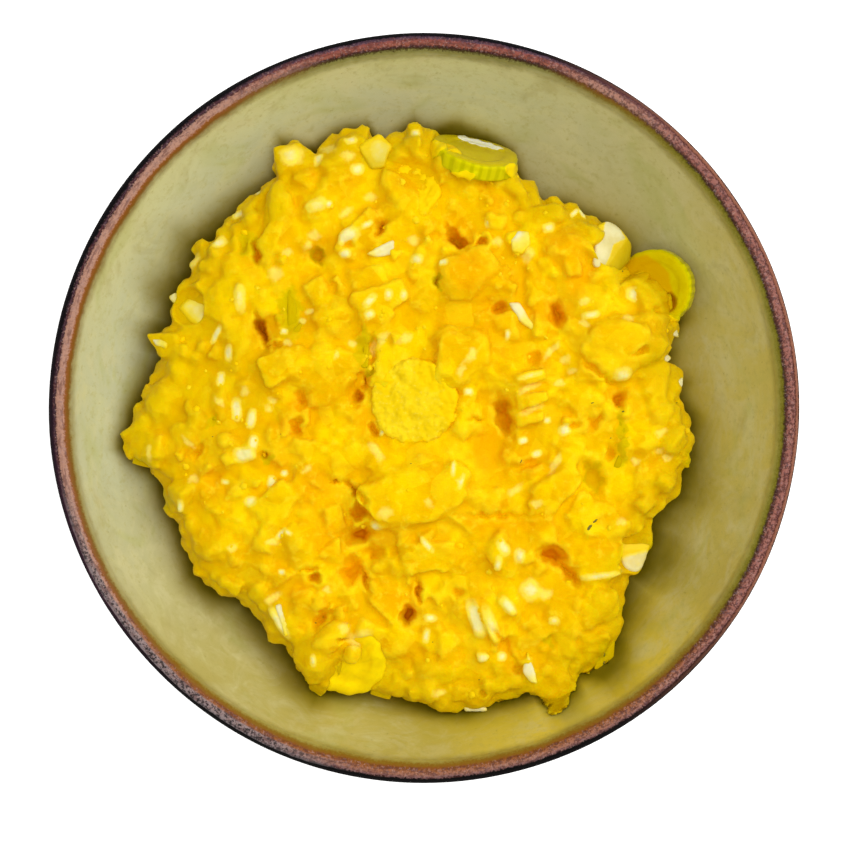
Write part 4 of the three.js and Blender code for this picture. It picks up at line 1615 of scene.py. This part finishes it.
# %% [markdown]
# ## Dressing
# The dressing is a saffron mayonnaise: opaque, soft, and so strongly yellow that it throws back
# almost no blue. Its colour runs from lemon on ridges, where it is thinner and a painted highlight
# lies, to amber and orange in hollows and crevices, which is painted shade and bounce light, and
# turns pale where the egg white shows through. Painted shade also darkens the heap's edge and its
# left flank. Its gloss is broad and dull and tinted yellow, because a white gloss would bleach it,
# and a little light is let into the surface.

# %% Relief of the dressing
PIECE_SIZE = 4.4


def dressing_relief(paint):
    """Faint facets as large as the pieces beneath, with two sizes of grain on them."""
    facets = paint.bump(0 - paint.cells(PIECE_SIZE, "Distance"), 0.3)
    coarse = paint.bump(paint.noise(1.1, 2, 0.55), 0.14, facets)
    return paint.bump(paint.noise(0.45, 2), 0.05, coarse)


# %% Dressed egg
def dressing_paint():
    """Lemon on ridges with a painted highlight, painted amber and orange shade in hollows and
    crevices, painted shade at the edge, and pale where egg white shows through.
    """
    paint = Paint(
        "dressed_egg_coat", Specular_IOR_Level=0.35, Specular_Tint=(1.0, 0.86, 0.0, 1.0),
        Subsurface_Weight=0.35, Subsurface_Scale=0.0022, Subsurface_Radius=(1.0, 0.6, 0.08),
    )
    lemon = rgb(250, 210, 1)
    amber = rgb(232, 162, 0)
    hollow = paint.attribute("hollow")
    crease = paint.attribute("crease")
    tone = paint.noise(10, 3, 0.6).step(0.40, 0.64)
    patch = paint.noise(6, 2, 0.5).step(0.54, 0.70)
    piece_tone = paint.cells(PIECE_SIZE, "Color").part("X")
    ridge = (0 - hollow).step(0.25, 1.8)
    deep = (paint.attribute("deep") + paint.noise(3) * 0.3 - 0.15).step(0.15, 0.75)
    mottle = paint.noise(2.2, 3, 0.6).step(0.54, 0.70) * (1 - hollow.step(0.0, 0.8))
    outer = (paint.attribute("outer") + (paint.noise(5, 3) - 0.5) * 0.7).step(0.1, 0.9)
    olive = (paint.attribute("olive") + paint.noise(2) * 0.4 - 0.2).step(0.2, 0.55)
    speckle = (paint.noise(1.3, 2) - 0.5) * 0.3 + (paint.noise(2.6, 2) - 0.5) * 0.5
    thin = (paint.attribute("thin_coat") + speckle).step(0.16, 0.75)
    bare = paint.attribute("bare") + speckle * 0.6
    gap = paint.attribute("gap") * hollow.step(0.1, 1.5)
    colour = paint.layers(
        rgb(233, 180, 0),
        (tone * 0.95, lemon),
        (patch * 0.55, amber),
        (piece_tone.step(0.45, 0.95) * 0.26, rgb(253, 222, 24)),
        ((1 - piece_tone).step(0.55, 1.0) * 0.26, amber),
        # Lemon on ridges, where the dressing is thinner, with a painted highlight.
        (ridge * 0.75, lemon),
        # Orange patches, partly painted shade.
        (deep * 0.6, rgb(240, 164, 0)),
        # Painted shade and bounce light: amber in the hollows.
        (hollow.step(0.3, 2.2) * 0.65, rgb(228, 166, 0)),
        (mottle * 0.4, rgb(253, 224, 40)),
        # Paler on narrow ridges, thinner dressing and a painted highlight; amber in narrow creases is
        # painted shade.
        ((0 - crease).step(0.04, 0.26) * 0.25, rgb(253, 224, 36)),
        (crease.step(0.03, 0.24) * 0.65, rgb(240, 182, 0)),
        # Painted shade: darker and more olive towards the heap's edge and on its left flank.
        (outer * 0.6, rgb(206, 172, 0)),
        (olive * 0.75, rgb(204, 178, 0)),
        (thin * 0.7, rgb(252, 230, 104)),
        (bare.step(0.12, 0.45) * 0.85, rgb(248, 224, 78)),
        (bare.step(0.45, 0.85) * 0.9, rgb(241, 232, 162)),
        # Painted shade in the crevices, orange deepening to red-brown.
        (gap.step(0.05, 0.65) * 0.6, rgb(220, 146, 0)),
        (gap.step(0.55, 0.95) * 0.6, rgb(192, 88, 0)),
    )
    return paint.finish(colour, 0.36 + paint.noise(2.5) * 0.2, dressing_relief(paint))


only(mass)
bpy.ops.object.shade_smooth()
show_as(mass, dressing_paint(), "dressed_egg", "egg_salad")

# %% [markdown]
# ## Round slices
# A slice is a short cylinder with its two rims rounded. To be dented, ribbed and warped it
# needs many small even faces, which a voxel remesh gives at once, where insets and loops would
# leave long thin ones. Every slice is shaped upright at the origin and then laid in its place.

# %% A round slab with even faces
SLAB_VOXEL = 0.32


def round_slab(name, radius, thickness, rounding):
    """A cylinder with two rounded rims and a skin of small even faces."""
    piece = start(
        name, bpy.ops.mesh.primitive_cylinder_add,
        vertices=72, radius=radius * MM, depth=thickness * MM,
    )
    begin_edit(piece)
    bpy.ops.mesh.select_all(action="DESELECT")
    bpy.ops.mesh.edges_select_sharp(sharpness=math.radians(60))
    bpy.ops.mesh.bevel(offset=rounding * MM, segments=3, affect="EDGES")
    end_edit()
    modify(piece, "REMESH", mode="VOXEL", voxel_size=SLAB_VOXEL * MM, adaptivity=0)
    modify(piece, "SMOOTH", factor=0.5, iterations=3)
    return piece


def lay_in_place(piece, node, name):
    """Moves a slice from the origin to its node's place and gives it its name."""
    move_points(piece, moved_by(points_of(piece), placed(node)))
    settle(piece, name)


# %% [markdown]
# ## Gherkin slices
# Each slice shows a lime rind with soft ribs, a yellow-green ring and a clear middle that is
# darker and browner. One is seen from its side, one lies flat at the right with a ragged hole,
# and the third is nearly hidden under dressing. The points keep what lies where, so that one
# finish serves all three.

# %% Holes in a slice
def values_of(piece, name):
    """Numbers that were stored on a piece's points."""
    values = np.empty(len(piece.data.vertices), dtype=np.float32)
    piece.data.attributes[name].data.foreach_get("value", values)
    return values.astype(float)


def dent(piece, marks):
    """Presses holes straight down into the upper side of a slice."""
    rows = points_of(piece)
    up = normals_of(piece)[:, 2] > 0.2
    hole = np.zeros(len(rows))
    for *oval, depth in marks:
        distance = oval_distance(rows[:, 0], rows[:, 1], *oval)
        rows[:, 2] -= depth * np.clip((1.3 - distance) * 3, 0, 1) * up
        hole = np.maximum(hole, np.clip((1.3 - distance) * 4, 0, 1) * up)
    store(piece, "hole", hole)
    move_points(piece, rows)


# %% Ribbed rind and warped face
RIND_RIBS = 26


def shape_slice(piece, radius, thickness, warp):
    """Ribs the rind, dishes and warps the face, and stores what lies where on the slice."""
    rows = points_of(piece)
    angle = np.arctan2(rows[:, 1], rows[:, 0])
    out = np.hypot(rows[:, 0], rows[:, 1]) / radius
    near_rim = np.clip((out - 0.86) / 0.12, 0, 1)
    ribs = np.cos(angle * RIND_RIBS + 1.2 * np.sin(angle * 4)) * near_rim
    waves = 0.012 * np.cos(2 * angle + 1) + 0.008 * np.sin(7 * angle) + 0.006 * np.sin(17 * angle)
    rows[:, :2] *= (1 + 0.004 * ribs + waves)[:, None]
    on_face = np.clip(np.abs(rows[:, 2]) / (thickness * 0.45), 0, 1) ** 4 * np.sign(rows[:, 2])
    rows[:, 2] += on_face * (-0.35 * np.clip((0.72 - out) / 0.1, 0, 1) - 0.12 * (out > 0.9))
    rows[:, 2] += warp * (rows[:, 0] ** 2 - rows[:, 1] ** 2) / radius ** 2
    flank = np.clip((0.43 * thickness - np.abs(rows[:, 2])) / (0.08 * thickness), 0, 1)
    spokes = np.abs(np.cos(angle * 5.5 + 0.7 * np.sin(out * 6))) ** 12
    store(piece, "out", out)
    store(piece, "rib", ribs)
    store(piece, "side", flank * np.clip((out - 0.9) / 0.05, 0, 1))
    store(piece, "spoke", spokes * np.clip((out - 0.25) / 0.2, 0, 1))
    move_points(piece, rows)


# %% A gherkin slice with the dressing on it
def raise_dressing(piece):
    """Lifts the skin where dressing lies on a slice, unevenly."""
    rows = points_of(piece)
    x, y = rows[:, 0], rows[:, 1]
    lumpy = 0.5 + 0.3 * np.sin(0.9 * x + 0.5 * y) * np.sin(0.8 * y - 0.5 * x + 1)
    lumpy = lumpy + 0.1 * np.sin(2.1 * x - 1.7 * y)
    coat = np.clip(values_of(piece, "coat") * 5, 0, 1) * lumpy
    smear = np.clip(values_of(piece, "smear") * 4, 0, 1) * 0.2
    move_points(piece, rows + normals_of(piece) * (coat + smear)[:, None])


def gherkin_slice(node, warp, places, dents):
    """A slice in its node's place. The places say what is seen where on it."""
    radius, thickness = slabs[node][:2]
    piece = round_slab(node, radius * 0.985, thickness * 0.9, 0.5)
    shape_slice(piece, radius, thickness, warp)
    lay_in_place(piece, node, node.replace("pickle", "gherkin"))
    for name in ("clear", "coat", "smear", "vein"):
        paint_spots(piece, name, places.get(name, []), 1.2, 0.3)
    raise_dressing(piece)
    dent(piece, dents)
    return piece


# %% Finish of gherkin
def gherkin_paint():
    """A wet cut face, a clear middle, a lime rind with ribs, and dressing, and a painted glint as a
    white streak.
    """
    paint = Paint(
        "wet_gherkin", Specular_IOR_Level=0.4, Specular_Tint=(1.0, 0.9, 0.0, 1.0),
        Subsurface_Weight=0.3, Subsurface_Scale=0.003, Subsurface_Radius=(1.0, 0.9, 0.2),
    )
    patch = paint.noise(3, 3, 0.6)
    edge = paint.attribute("out") + (patch - 0.5) * 0.08
    clear = (paint.attribute("clear") + (patch - 0.5) * 0.15).step(0.10, 0.22)
    lime = paint.mix(paint.attribute("rib").step(-0.9, 0.3), rgb(194, 186, 0), rgb(212, 202, 4))
    spokes = paint.attribute("vein").step(0.05, 0.2) * paint.attribute("spoke")
    film = (paint.attribute("coat") * 2 + (paint.noise(1.8, 3) - 0.5) * 0.5).step(0.3, 0.5)
    smear = (paint.attribute("smear") + (paint.noise(1.4, 3) - 0.5) * 0.35).step(0.12, 0.22)
    colour = paint.layers(
        paint.mix(patch.step(0.35, 0.65), rgb(206, 182, 0), rgb(212, 192, 2)),
        (clear, rgb(212, 166, 0)),
        (edge.step(0.90, 0.98) * 0.5, rgb(176, 172, 2)),
        (paint.attribute("side"), lime),
        (paint.attribute("hole"), rgb(176, 116, 0)),
        (film, rgb(252, 216, 6)),
        (spokes * 0.25, rgb(206, 184, 4)),
        # A painted glint of the wet face, drawn as a thin white streak that is raised a little.
        (smear, rgb(250, 249, 226)),
    )
    relief = paint.bump(paint.noise(0.7, 3), 0.06)
    return paint.finish(colour, 0.26 + film * 0.2 + patch * 0.08, relief)


# %% The three slices of gherkin
gherkin = gherkin_paint()
gherkin_slices = {
    # node: warp, places of the clear middle, of dressing, of a painted white glint and of veins, and
    # holes
    "pickle_slice_top": (0.4, {
        "coat": [(2.6, 60, 5, 4), (20.5, 55, 4, 3), (8, 53.4, 8, 2)],
        "smear": [(13.4, 62.5, 10.4, 1.7, -17), (9.4, 63.8, 3, 1.4, -30)],
    }, []),
    "pickle_slice_right": (-0.4, {
        "clear": [(51.8, 28.4, 11.6, 15, 20)], "coat": [(50, 30, 5, 3.4, 30), (57, 20.2, 6, 3.4)],
    }, [(57.3, 24.8, 2.8, 3.8, 0, 1.6)]),
    "pickle_slice_lower_left": (0.6, {
        "coat": [(-17, -58, 30, 30)], "vein": [(-14, -58.6, 9, 9)],
    }, []),
}
for node, (warp, places, dents) in gherkin_slices.items():
    show_as(gherkin_slice(node, warp, places, dents), gherkin, "gherkin", node)

# %% [markdown]
# ## Rounds of yolk
# Hard yolk is dry and crumbly: matt, pale, with grains the size of sand and a broken rim. Two
# displacements, one for the crumbs and one for the grain, make that on a round slab.

# %% Shape of a yolk round
def yolk_round(node, coats):
    """A slab with a broken rim and a crumbly face, with dressing on it in places."""
    radius, thickness = slabs[node][:2]
    piece = round_slab(node, radius * 0.99, thickness * 0.8, 1.1)
    rows = points_of(piece)
    angle = np.arctan2(rows[:, 1], rows[:, 0])
    broken = 0.022 * np.sin(2 * angle + 1) + 0.012 * np.sin(5 * angle) - 0.01
    rows[:, :2] *= (1 + broken)[:, None]
    move_points(piece, rows)
    lay_in_place(piece, node, node.replace("slice", "round"))
    roughen(piece, "yolk_crumbs", 2.8, 1.7, detail=2, middle=0.55)
    roughen(piece, "yolk_grain", 0.7, 0.3)
    paint_spots(piece, "coat", coats, 1.2)
    return piece


# %% Finish of yolk, and the two rounds
def yolk_paint():
    """Matt and pale with a sandy grain, paler on raised grains as a painted highlight and darker in
    low ones as painted shade, and glossier yellow where dressing covers it.
    """
    paint = Paint("boiled_yolk", Specular_IOR_Level=0.1, Specular_Tint=(1.0, 0.9, 0.2, 1.0))
    grain = paint.noise(0.8, 3, 0.7)
    cloud = paint.noise(4, 2).step(0.38, 0.62)
    film = (paint.attribute("coat") * 2 + (paint.noise(2, 3) - 0.5) * 0.5).step(0.3, 0.55)
    colour = paint.layers(
        paint.mix(cloud, rgb(240, 204, 10), rgb(247, 214, 24)),
        # Painted highlight on the raised grains and painted shade in the low ones, where the grain's
        # bump rises and falls.
        (grain.step(0.54, 0.70) * 0.5, rgb(252, 226, 72)),
        ((1 - grain.step(0.34, 0.46)) * 0.3, rgb(228, 190, 4)),
        (film, rgb(250, 208, 3)),
    )
    relief = paint.bump(grain, 0.10)
    return paint.finish(colour, 0.75 - film * 0.25, relief)


yolk = yolk_paint()
yolk_coats = {
    "yolk_slice_middle": [
        (4, 8.5, 13, 10), (-9.4, 6.4, 4, 7), (-2, -8.4, 12, 2), (7, 1, 7, 12),
    ],
    "yolk_slice_top": [(-5, 46, 16, 9, -57), (-2, 51, 14, 14)],
}
for node, coats in yolk_coats.items():
    show_as(yolk_round(node, coats), yolk, "egg_yolk", node)

# %% [markdown]
# ## Egg white
# The white is firm and smooth and keeps the knife's flat faces. It shows ivory where it is bare
# and lemon where dressing has run over it. Each cut is drawn as its outline, extruded downwards
# and bent along a ridge. A number on the points says how much dressing lies there, and another
# one paints shade on the part beyond the ridge.

# %% Finish of egg white
def egg_white_paint():
    """Ivory where it is bare, lemon under a film of dressing, and painted shade beyond a cut's ridge.
    """
    paint = Paint(
        "boiled_egg_white", Specular_IOR_Level=0.3, Specular_Tint=(1.0, 0.95, 0.6, 1.0),
        Subsurface_Weight=0.3, Subsurface_Scale=0.003, Subsurface_Radius=(1.0, 0.9, 0.6),
    )
    shade = paint.noise(3, 2).step(0.35, 0.70)
    coat = paint.attribute("coat") + (paint.noise(1.6, 3, 0.6) - 0.5) * 0.35
    colour = paint.layers(
        paint.mix(shade, rgb(238, 229, 174), rgb(228, 214, 146)),
        (coat.step(0.10, 0.50), rgb(248, 224, 76)),
        (coat.step(0.50, 0.80), rgb(248, 211, 6)),
        (paint.attribute("dim"), rgb(136, 122, 0)),
    )
    relief = paint.bump(paint.noise(1.2, 2), 0.06)
    return paint.finish(colour, 0.36 + coat.step(0.4, 0.8) * 0.12, relief)


egg_white = egg_white_paint()

# %% Inside an outline, and beyond a ridge
def within(x, y, corners):
    """True for the points inside a polygon."""
    inside = np.zeros(len(x), dtype=bool)
    for (x1, y1), (x2, y2) in zip(corners, corners[1:] + corners[:1]):
        between = (y1 > y) != (y2 > y)
        rise = y2 - y1 if y2 != y1 else 1e-9
        inside ^= between & (x < (x2 - x1) * (y - y1) / rise + x1)
    return inside


def beyond(x, y, ridge):
    """How far points lie to the right of a line from one place to another."""
    x1, y1, x2, y2 = ridge
    return ((x - x1) * (y2 - y1) - (y - y1) * (x2 - x1)) / math.hypot(x2 - x1, y2 - y1)


# %% A cut with a given outline
CUT_VOXEL = 0.27


def outline_cut(name, corners, top, thickness, rounding):
    """A polygon extruded downwards, with soft edges. Its top is a plane: middle, lean, towards."""
    (x, y, z), lean, towards = top
    piece = start(
        name, bpy.ops.mesh.primitive_circle_add,
        vertices=len(corners), radius=MM, fill_type="NGON",
    )
    way = math.radians(towards)
    rows = np.zeros((len(corners), 3))
    rows[:, :2] = corners
    across = (rows[:, 0] - x) * math.cos(way) + (rows[:, 1] - y) * math.sin(way)
    rows[:, 2] = z - math.tan(math.radians(lean)) * across
    move_points(piece, rows)
    begin_edit(piece)
    bpy.ops.mesh.extrude_region_move(TRANSFORM_OT_translate={"value": (0, 0, -thickness * MM)})
    bpy.ops.mesh.select_all(action="SELECT")
    bpy.ops.mesh.normals_make_consistent(inside=False)
    bpy.ops.mesh.bevel(offset=rounding * MM, segments=2, affect="EDGES")
    end_edit()
    modify(piece, "REMESH", mode="VOXEL", voxel_size=CUT_VOXEL * MM, adaptivity=0)
    modify(piece, "SMOOTH", factor=0.5, iterations=2)
    return piece


# %% Outlines of the four large cuts
large_cuts = {
    # node: outline, bare part, ridge and fall beyond it, rounds of blurring, film, painted shade
    "egg_white_right": (
        [
            (39, 33), (41.6, 31.4), (45.6, 31.8), (48.2, 34.6), (48.6, 38.6), (44.8, 42.8),
            (42.6, 43.9), (40, 42.4),
        ],
        [
            (38, 33), (41.5, 32.2), (43, 35), (44, 38), (47, 39.5), (44.8, 43), (42.3, 44.4),
            (41.5, 40.5), (39, 37.5),
        ],
        (41.6, 31.8, 47.6, 40), 0.65, 1, 0.0, 0.7,
    ),
    "egg_white_lower_right": (
        [
            (44, -25), (49.6, -24.4), (53.4, -27.4), (53.8, -31), (52.4, -34), (51.5, -37),
            (50.3, -38.4), (48.5, -38.5), (46.8, -37.2), (45.6, -34.8), (43.8, -31), (43.4, -27.6),
        ],
        [
            (46, -35.4), (47.4, -34.2), (51.8, -33.2), (54, -34), (52, -38), (50.5, -39.4),
            (47, -39.4), (45.4, -37),
        ],
        (55, -33, 44, -33), 0.35, 8, 0.2, 0.05,
    ),
    "egg_white_upper_left": (
        [
            (-15.4, 60.6), (-13.6, 62.4), (-10.4, 63.9), (-7.2, 61), (-8.2, 58.8), (-9, 55.8),
            (-12.4, 55.4),
        ],
        [(-12.6, 61.6), (-10.4, 62.6), (-8, 60.8), (-9.2, 57), (-11.2, 56.6), (-12.4, 59)],
        (-16, 58.6, -7, 62.2), 0.2, 14, 0.4, 0.35,
    ),
    "egg_white_left": (
        [
            (-57.6, 23.4), (-55, 26.2), (-51, 26), (-48.8, 22.4), (-48.8, 18.6), (-51.6, 18.6),
            (-54.8, 20.2),
        ],
        [(-56.6, 23.7), (-54.6, 25.3), (-51.5, 24.8), (-49.4, 21.8), (-49.4, 19), (-52, 19.4)],
        (-50, 20, -57, 25), 0.2, 14, 0.36, 0.0,
    ),
}


# %% The four large cuts
def blurred(values, pairs, rounds):
    """Numbers on points after taking the mean of each with its neighbours a number of times."""
    return smoothed(np.repeat(values[:, None], 3, axis=1), pairs, rounds)[:, 0]


def large_cut(node, outline, bare, ridge, fall, rounds, film, shade):
    """A cut in its node's place, bent along its ridge, with a film of dressing on most of it and
    painted shade beyond the ridge.
    """
    thickness, lean, towards = slabs[node][1:4]
    middle = placed(node) @ Vector((0, 0, thickness / 2))
    piece = outline_cut(node, outline, (middle, lean, towards), thickness, 0.7)
    rows = points_of(piece)
    upper = rows[:, 2] > middle.z - thickness
    past_ridge = beyond(rows[:, 0], rows[:, 1], ridge)
    rows[:, 2] -= fall * np.clip(past_ridge, 0, None) * upper
    # Painted shade on the part beyond the ridge, which turns away from the light.
    store(piece, "dim", shade * np.clip(0.45 + past_ridge / 6, 0.1, 1))
    move_points(piece, rows)
    settle(piece, node.replace("egg_white", "white_cut"))
    roughen(piece, "cut_waves", 3.4, 0.45)
    coat = np.where(within(rows[:, 0], rows[:, 1], bare), film, 1.0)
    store(piece, "coat", blurred(coat, edges_of(piece), rounds))
    return piece


for node, values in large_cuts.items():
    show_as(large_cut(node, *values), egg_white, "egg_white", node)

# %% Outlines of the small cuts that show crisp edges
crisp_cuts = [
    # where it is barest, how far from there it is wholly coated, how far it stands out, outline
    ((-7.4, 36.6), 13, 0.8, [(-13.5, 35.5), (-11, 34.7), (-6.8, 35.4), (-7, 38.8), (-9.8, 37.6)]),
    ((19.5, 24.5), 14, 0.9, [
        (19.4, 24.3), (22, 24.3), (24.4, 20.4), (29, 15.6), (26.4, 16.8), (22.2, 19.8),
    ]),
    ((21, 40.5), 6, 0.2, [
        (20.2, 36), (22.5, 35.5), (24.6, 37.6), (24.1, 40.7), (21.6, 40.9), (20, 38.8),
    ]),
    ((24.4, -60), 7, 0.3, [(22.6, -61), (23.9, -56.2), (25.2, -59.6), (26.2, -63.6), (24.4, -63.2)]),
    ((-63, 16), 5, 0.3, [(-63.6, 16.2), (-62, 14.4), (-59.6, 13.7), (-59.4, 15.2), (-61.6, 16.2)]),
    ((-60, 26.4), 6, 0.2, [(-60, 26.2), (-58.4, 27.2), (-55.9, 26), (-57.2, 24.3), (-58.8, 24.6)]),
    ((59, 18), 5, 0.1, [(56.8, 17.6), (59.2, 19), (59.9, 16.4)]),
    ((60, 6), 5, 0.1, [(58, 6), (60.6, 7.5), (60.2, 4.8)]),
    ((57, 12), 5, 0.2, [(54.8, 10.4), (57, 13), (58.2, 11.8), (56, 9.8)]),
    ((12, -70.6), 7, 0.2, [(9, -69.6), (14.6, -69.9), (15, -70.9), (9.6, -71)]),
    ((-34, -46), 9, 0.2, [(-34.6, -45.6), (-33.2, -45.2), (-30.9, -52.4), (-32.2, -53)]),
]

# %% Small cuts that show crisp edges
CRISP_THICKNESS = 2.0
CRISP_ROUNDING = 0.4


def crisp_cut(barest, fade, proud, outline):
    """A small cut that lies on the dressing, barest at one corner and coated away from it."""
    x, y = np.mean(outline, axis=0)
    height, normal = surface_under(mass, x, y)
    if normal is None:
        height, normal = EDGE_HEIGHT, Vector((0, 0, 1))
    steepness, facing = tilt_of(normal)
    top = ((x, y, height + proud), min(STEEPEST_LEAN, 0.7 * steepness), facing)
    clockwise = beyond(*outline[2], (*outline[0], *outline[1])) < 0
    corners = outline if clockwise else outline[::-1]
    piece = outline_cut("cut", corners, top, CRISP_THICKNESS, CRISP_ROUNDING)
    rows = points_of(piece)
    sides = np.clip((height + proud - 0.6 - rows[:, 2]) / 0.8, 0, 1)
    from_barest = np.hypot(rows[:, 0] - barest[0], rows[:, 1] - barest[1])
    store(piece, "coat", np.clip(from_barest / fade + 0.8 * sides, 0, 1))
    return piece


crisp = join([crisp_cut(*values) for values in crisp_cuts], "egg_white_cuts")
roughen(crisp, "cut_unevenness", 1.6, 0.35)
show_as(crisp, egg_white, "egg_white")

# %% [markdown]
# ## Crumbs, bits of gherkin and specks
# Crumbs of yolk are strewn over the heap, with more of them round the two yolk slices. A few
# strips of gherkin show at the edge and in the folds, and dark specks of its rind lie here and
# there. Each kind is one joined piece.

# %% Crumbs of yolk
CRUMBS = 120
crumb_middles = [(-2, 1, 15), (-2, 50, 12), (-45, -4, 16), (20, 44, 14)]


def crumb(number):
    """A crumb anywhere on the heap, or near one of the places where crumbs gather."""
    length = 0.8 + 1.3 * chance.random() ** 2
    if number % 2:
        x, y = random_place(2)
    else:
        middle_x, middle_y, spread = crumb_middles[number // 2 % len(crumb_middles)]
        x = middle_x + chance.gauss(0, spread / 2)
        y = middle_y + chance.gauss(0, spread / 2)
    size = (length, length * chance.uniform(0.7, 1), length * 0.8)
    copy = lay_on(mass, "chunk", number, x, y, size, chance.uniform(0, 360), 0.3 * length)
    if copy:
        store(copy, "coat", chance.uniform(0.05, 0.3))
    return copy


crumbs = join([crumb(number) for number in range(CRUMBS)], "yolk_crumbs")
show_as(crumbs, yolk, "egg_yolk")

# %% Strips of gherkin in the folds and at the edge
gherkin_strips = [
    # kind, x, y, (length, width, height), turn, how far it stands out
    ("sliver", -30.6, 22.6, (12.5, 3.4, 3), 95, 0.4), ("sliver", -29.4, 18, (3.8, 2, 2), 60, 0.3),
    ("slab", -57.2, 30.3, (4.6, 3, 2.4), 60, -0.2), ("sliver", 45.8, -4, (9, 2, 2), 100, 0.05),
    ("sliver", 45.4, -11.6, (7, 2, 2), 72, 0.05), ("slab", 42.4, -57.6, (8, 4.6, 2.4), 80, 0),
    ("slab", -65.6, -12.4, (4.8, 2.2, 2), -18, -0.3), ("slab", -10, -66.6, (5, 2, 2), -18, 0),
    ("slab", 61.2, -12, (3.8, 1.6, 2), 85, -0.3), ("chunk", -48.3, -2.5, (1.6, 1.3, 1.2), 0, 0.3),
    ("sliver", -13.6, 12.5, (7, 2, 2), 84, 0), ("chunk", -61, -22, (3.8, 3.2, 2.4), 30, 0),
]
STRIP_VALUES = {"out": 0.95, "clear": 0.3, "coat": 0.05}


def lay_strip(number, kind, x, y, size, turn, proud):
    """A strip on the heap, with the numbers that the gherkin's finish reads."""
    copy = lay_on(mass, kind, number, x, y, size, turn, proud)
    if copy:
        for name, value in STRIP_VALUES.items():
            store(copy, name, value)
    return copy


strip_copies = [lay_strip(number, *strip) for number, strip in enumerate(gherkin_strips)]
strips = join(strip_copies, "gherkin_strips")
modify(strips, "SUBSURF", levels=1, render_levels=1)
show_as(strips, gherkin, "gherkin")

# %% Dark specks
speck_places = [
    # x, y, length, turn
    (11, 53.4, 0.7, 0), (-47.5, -3.5, 0.7, 40), (-48.8, -6.6, 0.7, 0), (-1.5, 8.3, 0.6, 0),
    (22.3, -12.3, 1, 60), (-3, -12.8, 0.6, 0), (38.8, 1.2, 0.9, 20), (43.2, -6.9, 0.8, 0),
    (46, -0.8, 1, 0), (58.9, 1.2, 0.7, 30), (12.8, -63, 0.7, 0), (2, -54, 0.6, 0),
    (38.2, -27.4, 2.2, 55), (39.3, -26.1, 1.8, 35), (42, -57.5, 1.2, 80), (42, -59.5, 1.1, 80),
    (-15, -58.6, 1.3, 30), (46.2, 32, 0.8, 0), (-25.3, -50, 0.8, 0), (-33, -6, 0.6, 0),
]
SPECK_SLIMNESS = 0.45
SPECK_THICKNESS = 0.5
SPECK_PROUD = 0.12


def lay_speck(number, x, y, length, turn):
    """A thin flake that follows the slope wholly."""
    size = (length, SPECK_SLIMNESS * length, SPECK_THICKNESS)
    return lay_on(mass, "chunk", number, x, y, size, turn, SPECK_PROUD, lean=1.0)


def speck_paint():
    """Dark olive rind."""
    paint = Paint("dark_rind", Roughness=0.5, Specular_IOR_Level=0.3)
    colour = paint.mix(paint.noise(0.5), rgb(92, 82, 6), rgb(128, 116, 10))
    return paint.finish(colour)


specks = join([lay_speck(number, *row) for number, row in enumerate(speck_places)], "rind_specks")
show_as(specks, speck_paint(), "gherkin")

# %% Clear the patterns away
for versions in masters.values():
    for pattern in versions:
        bpy.data.objects.remove(pattern)
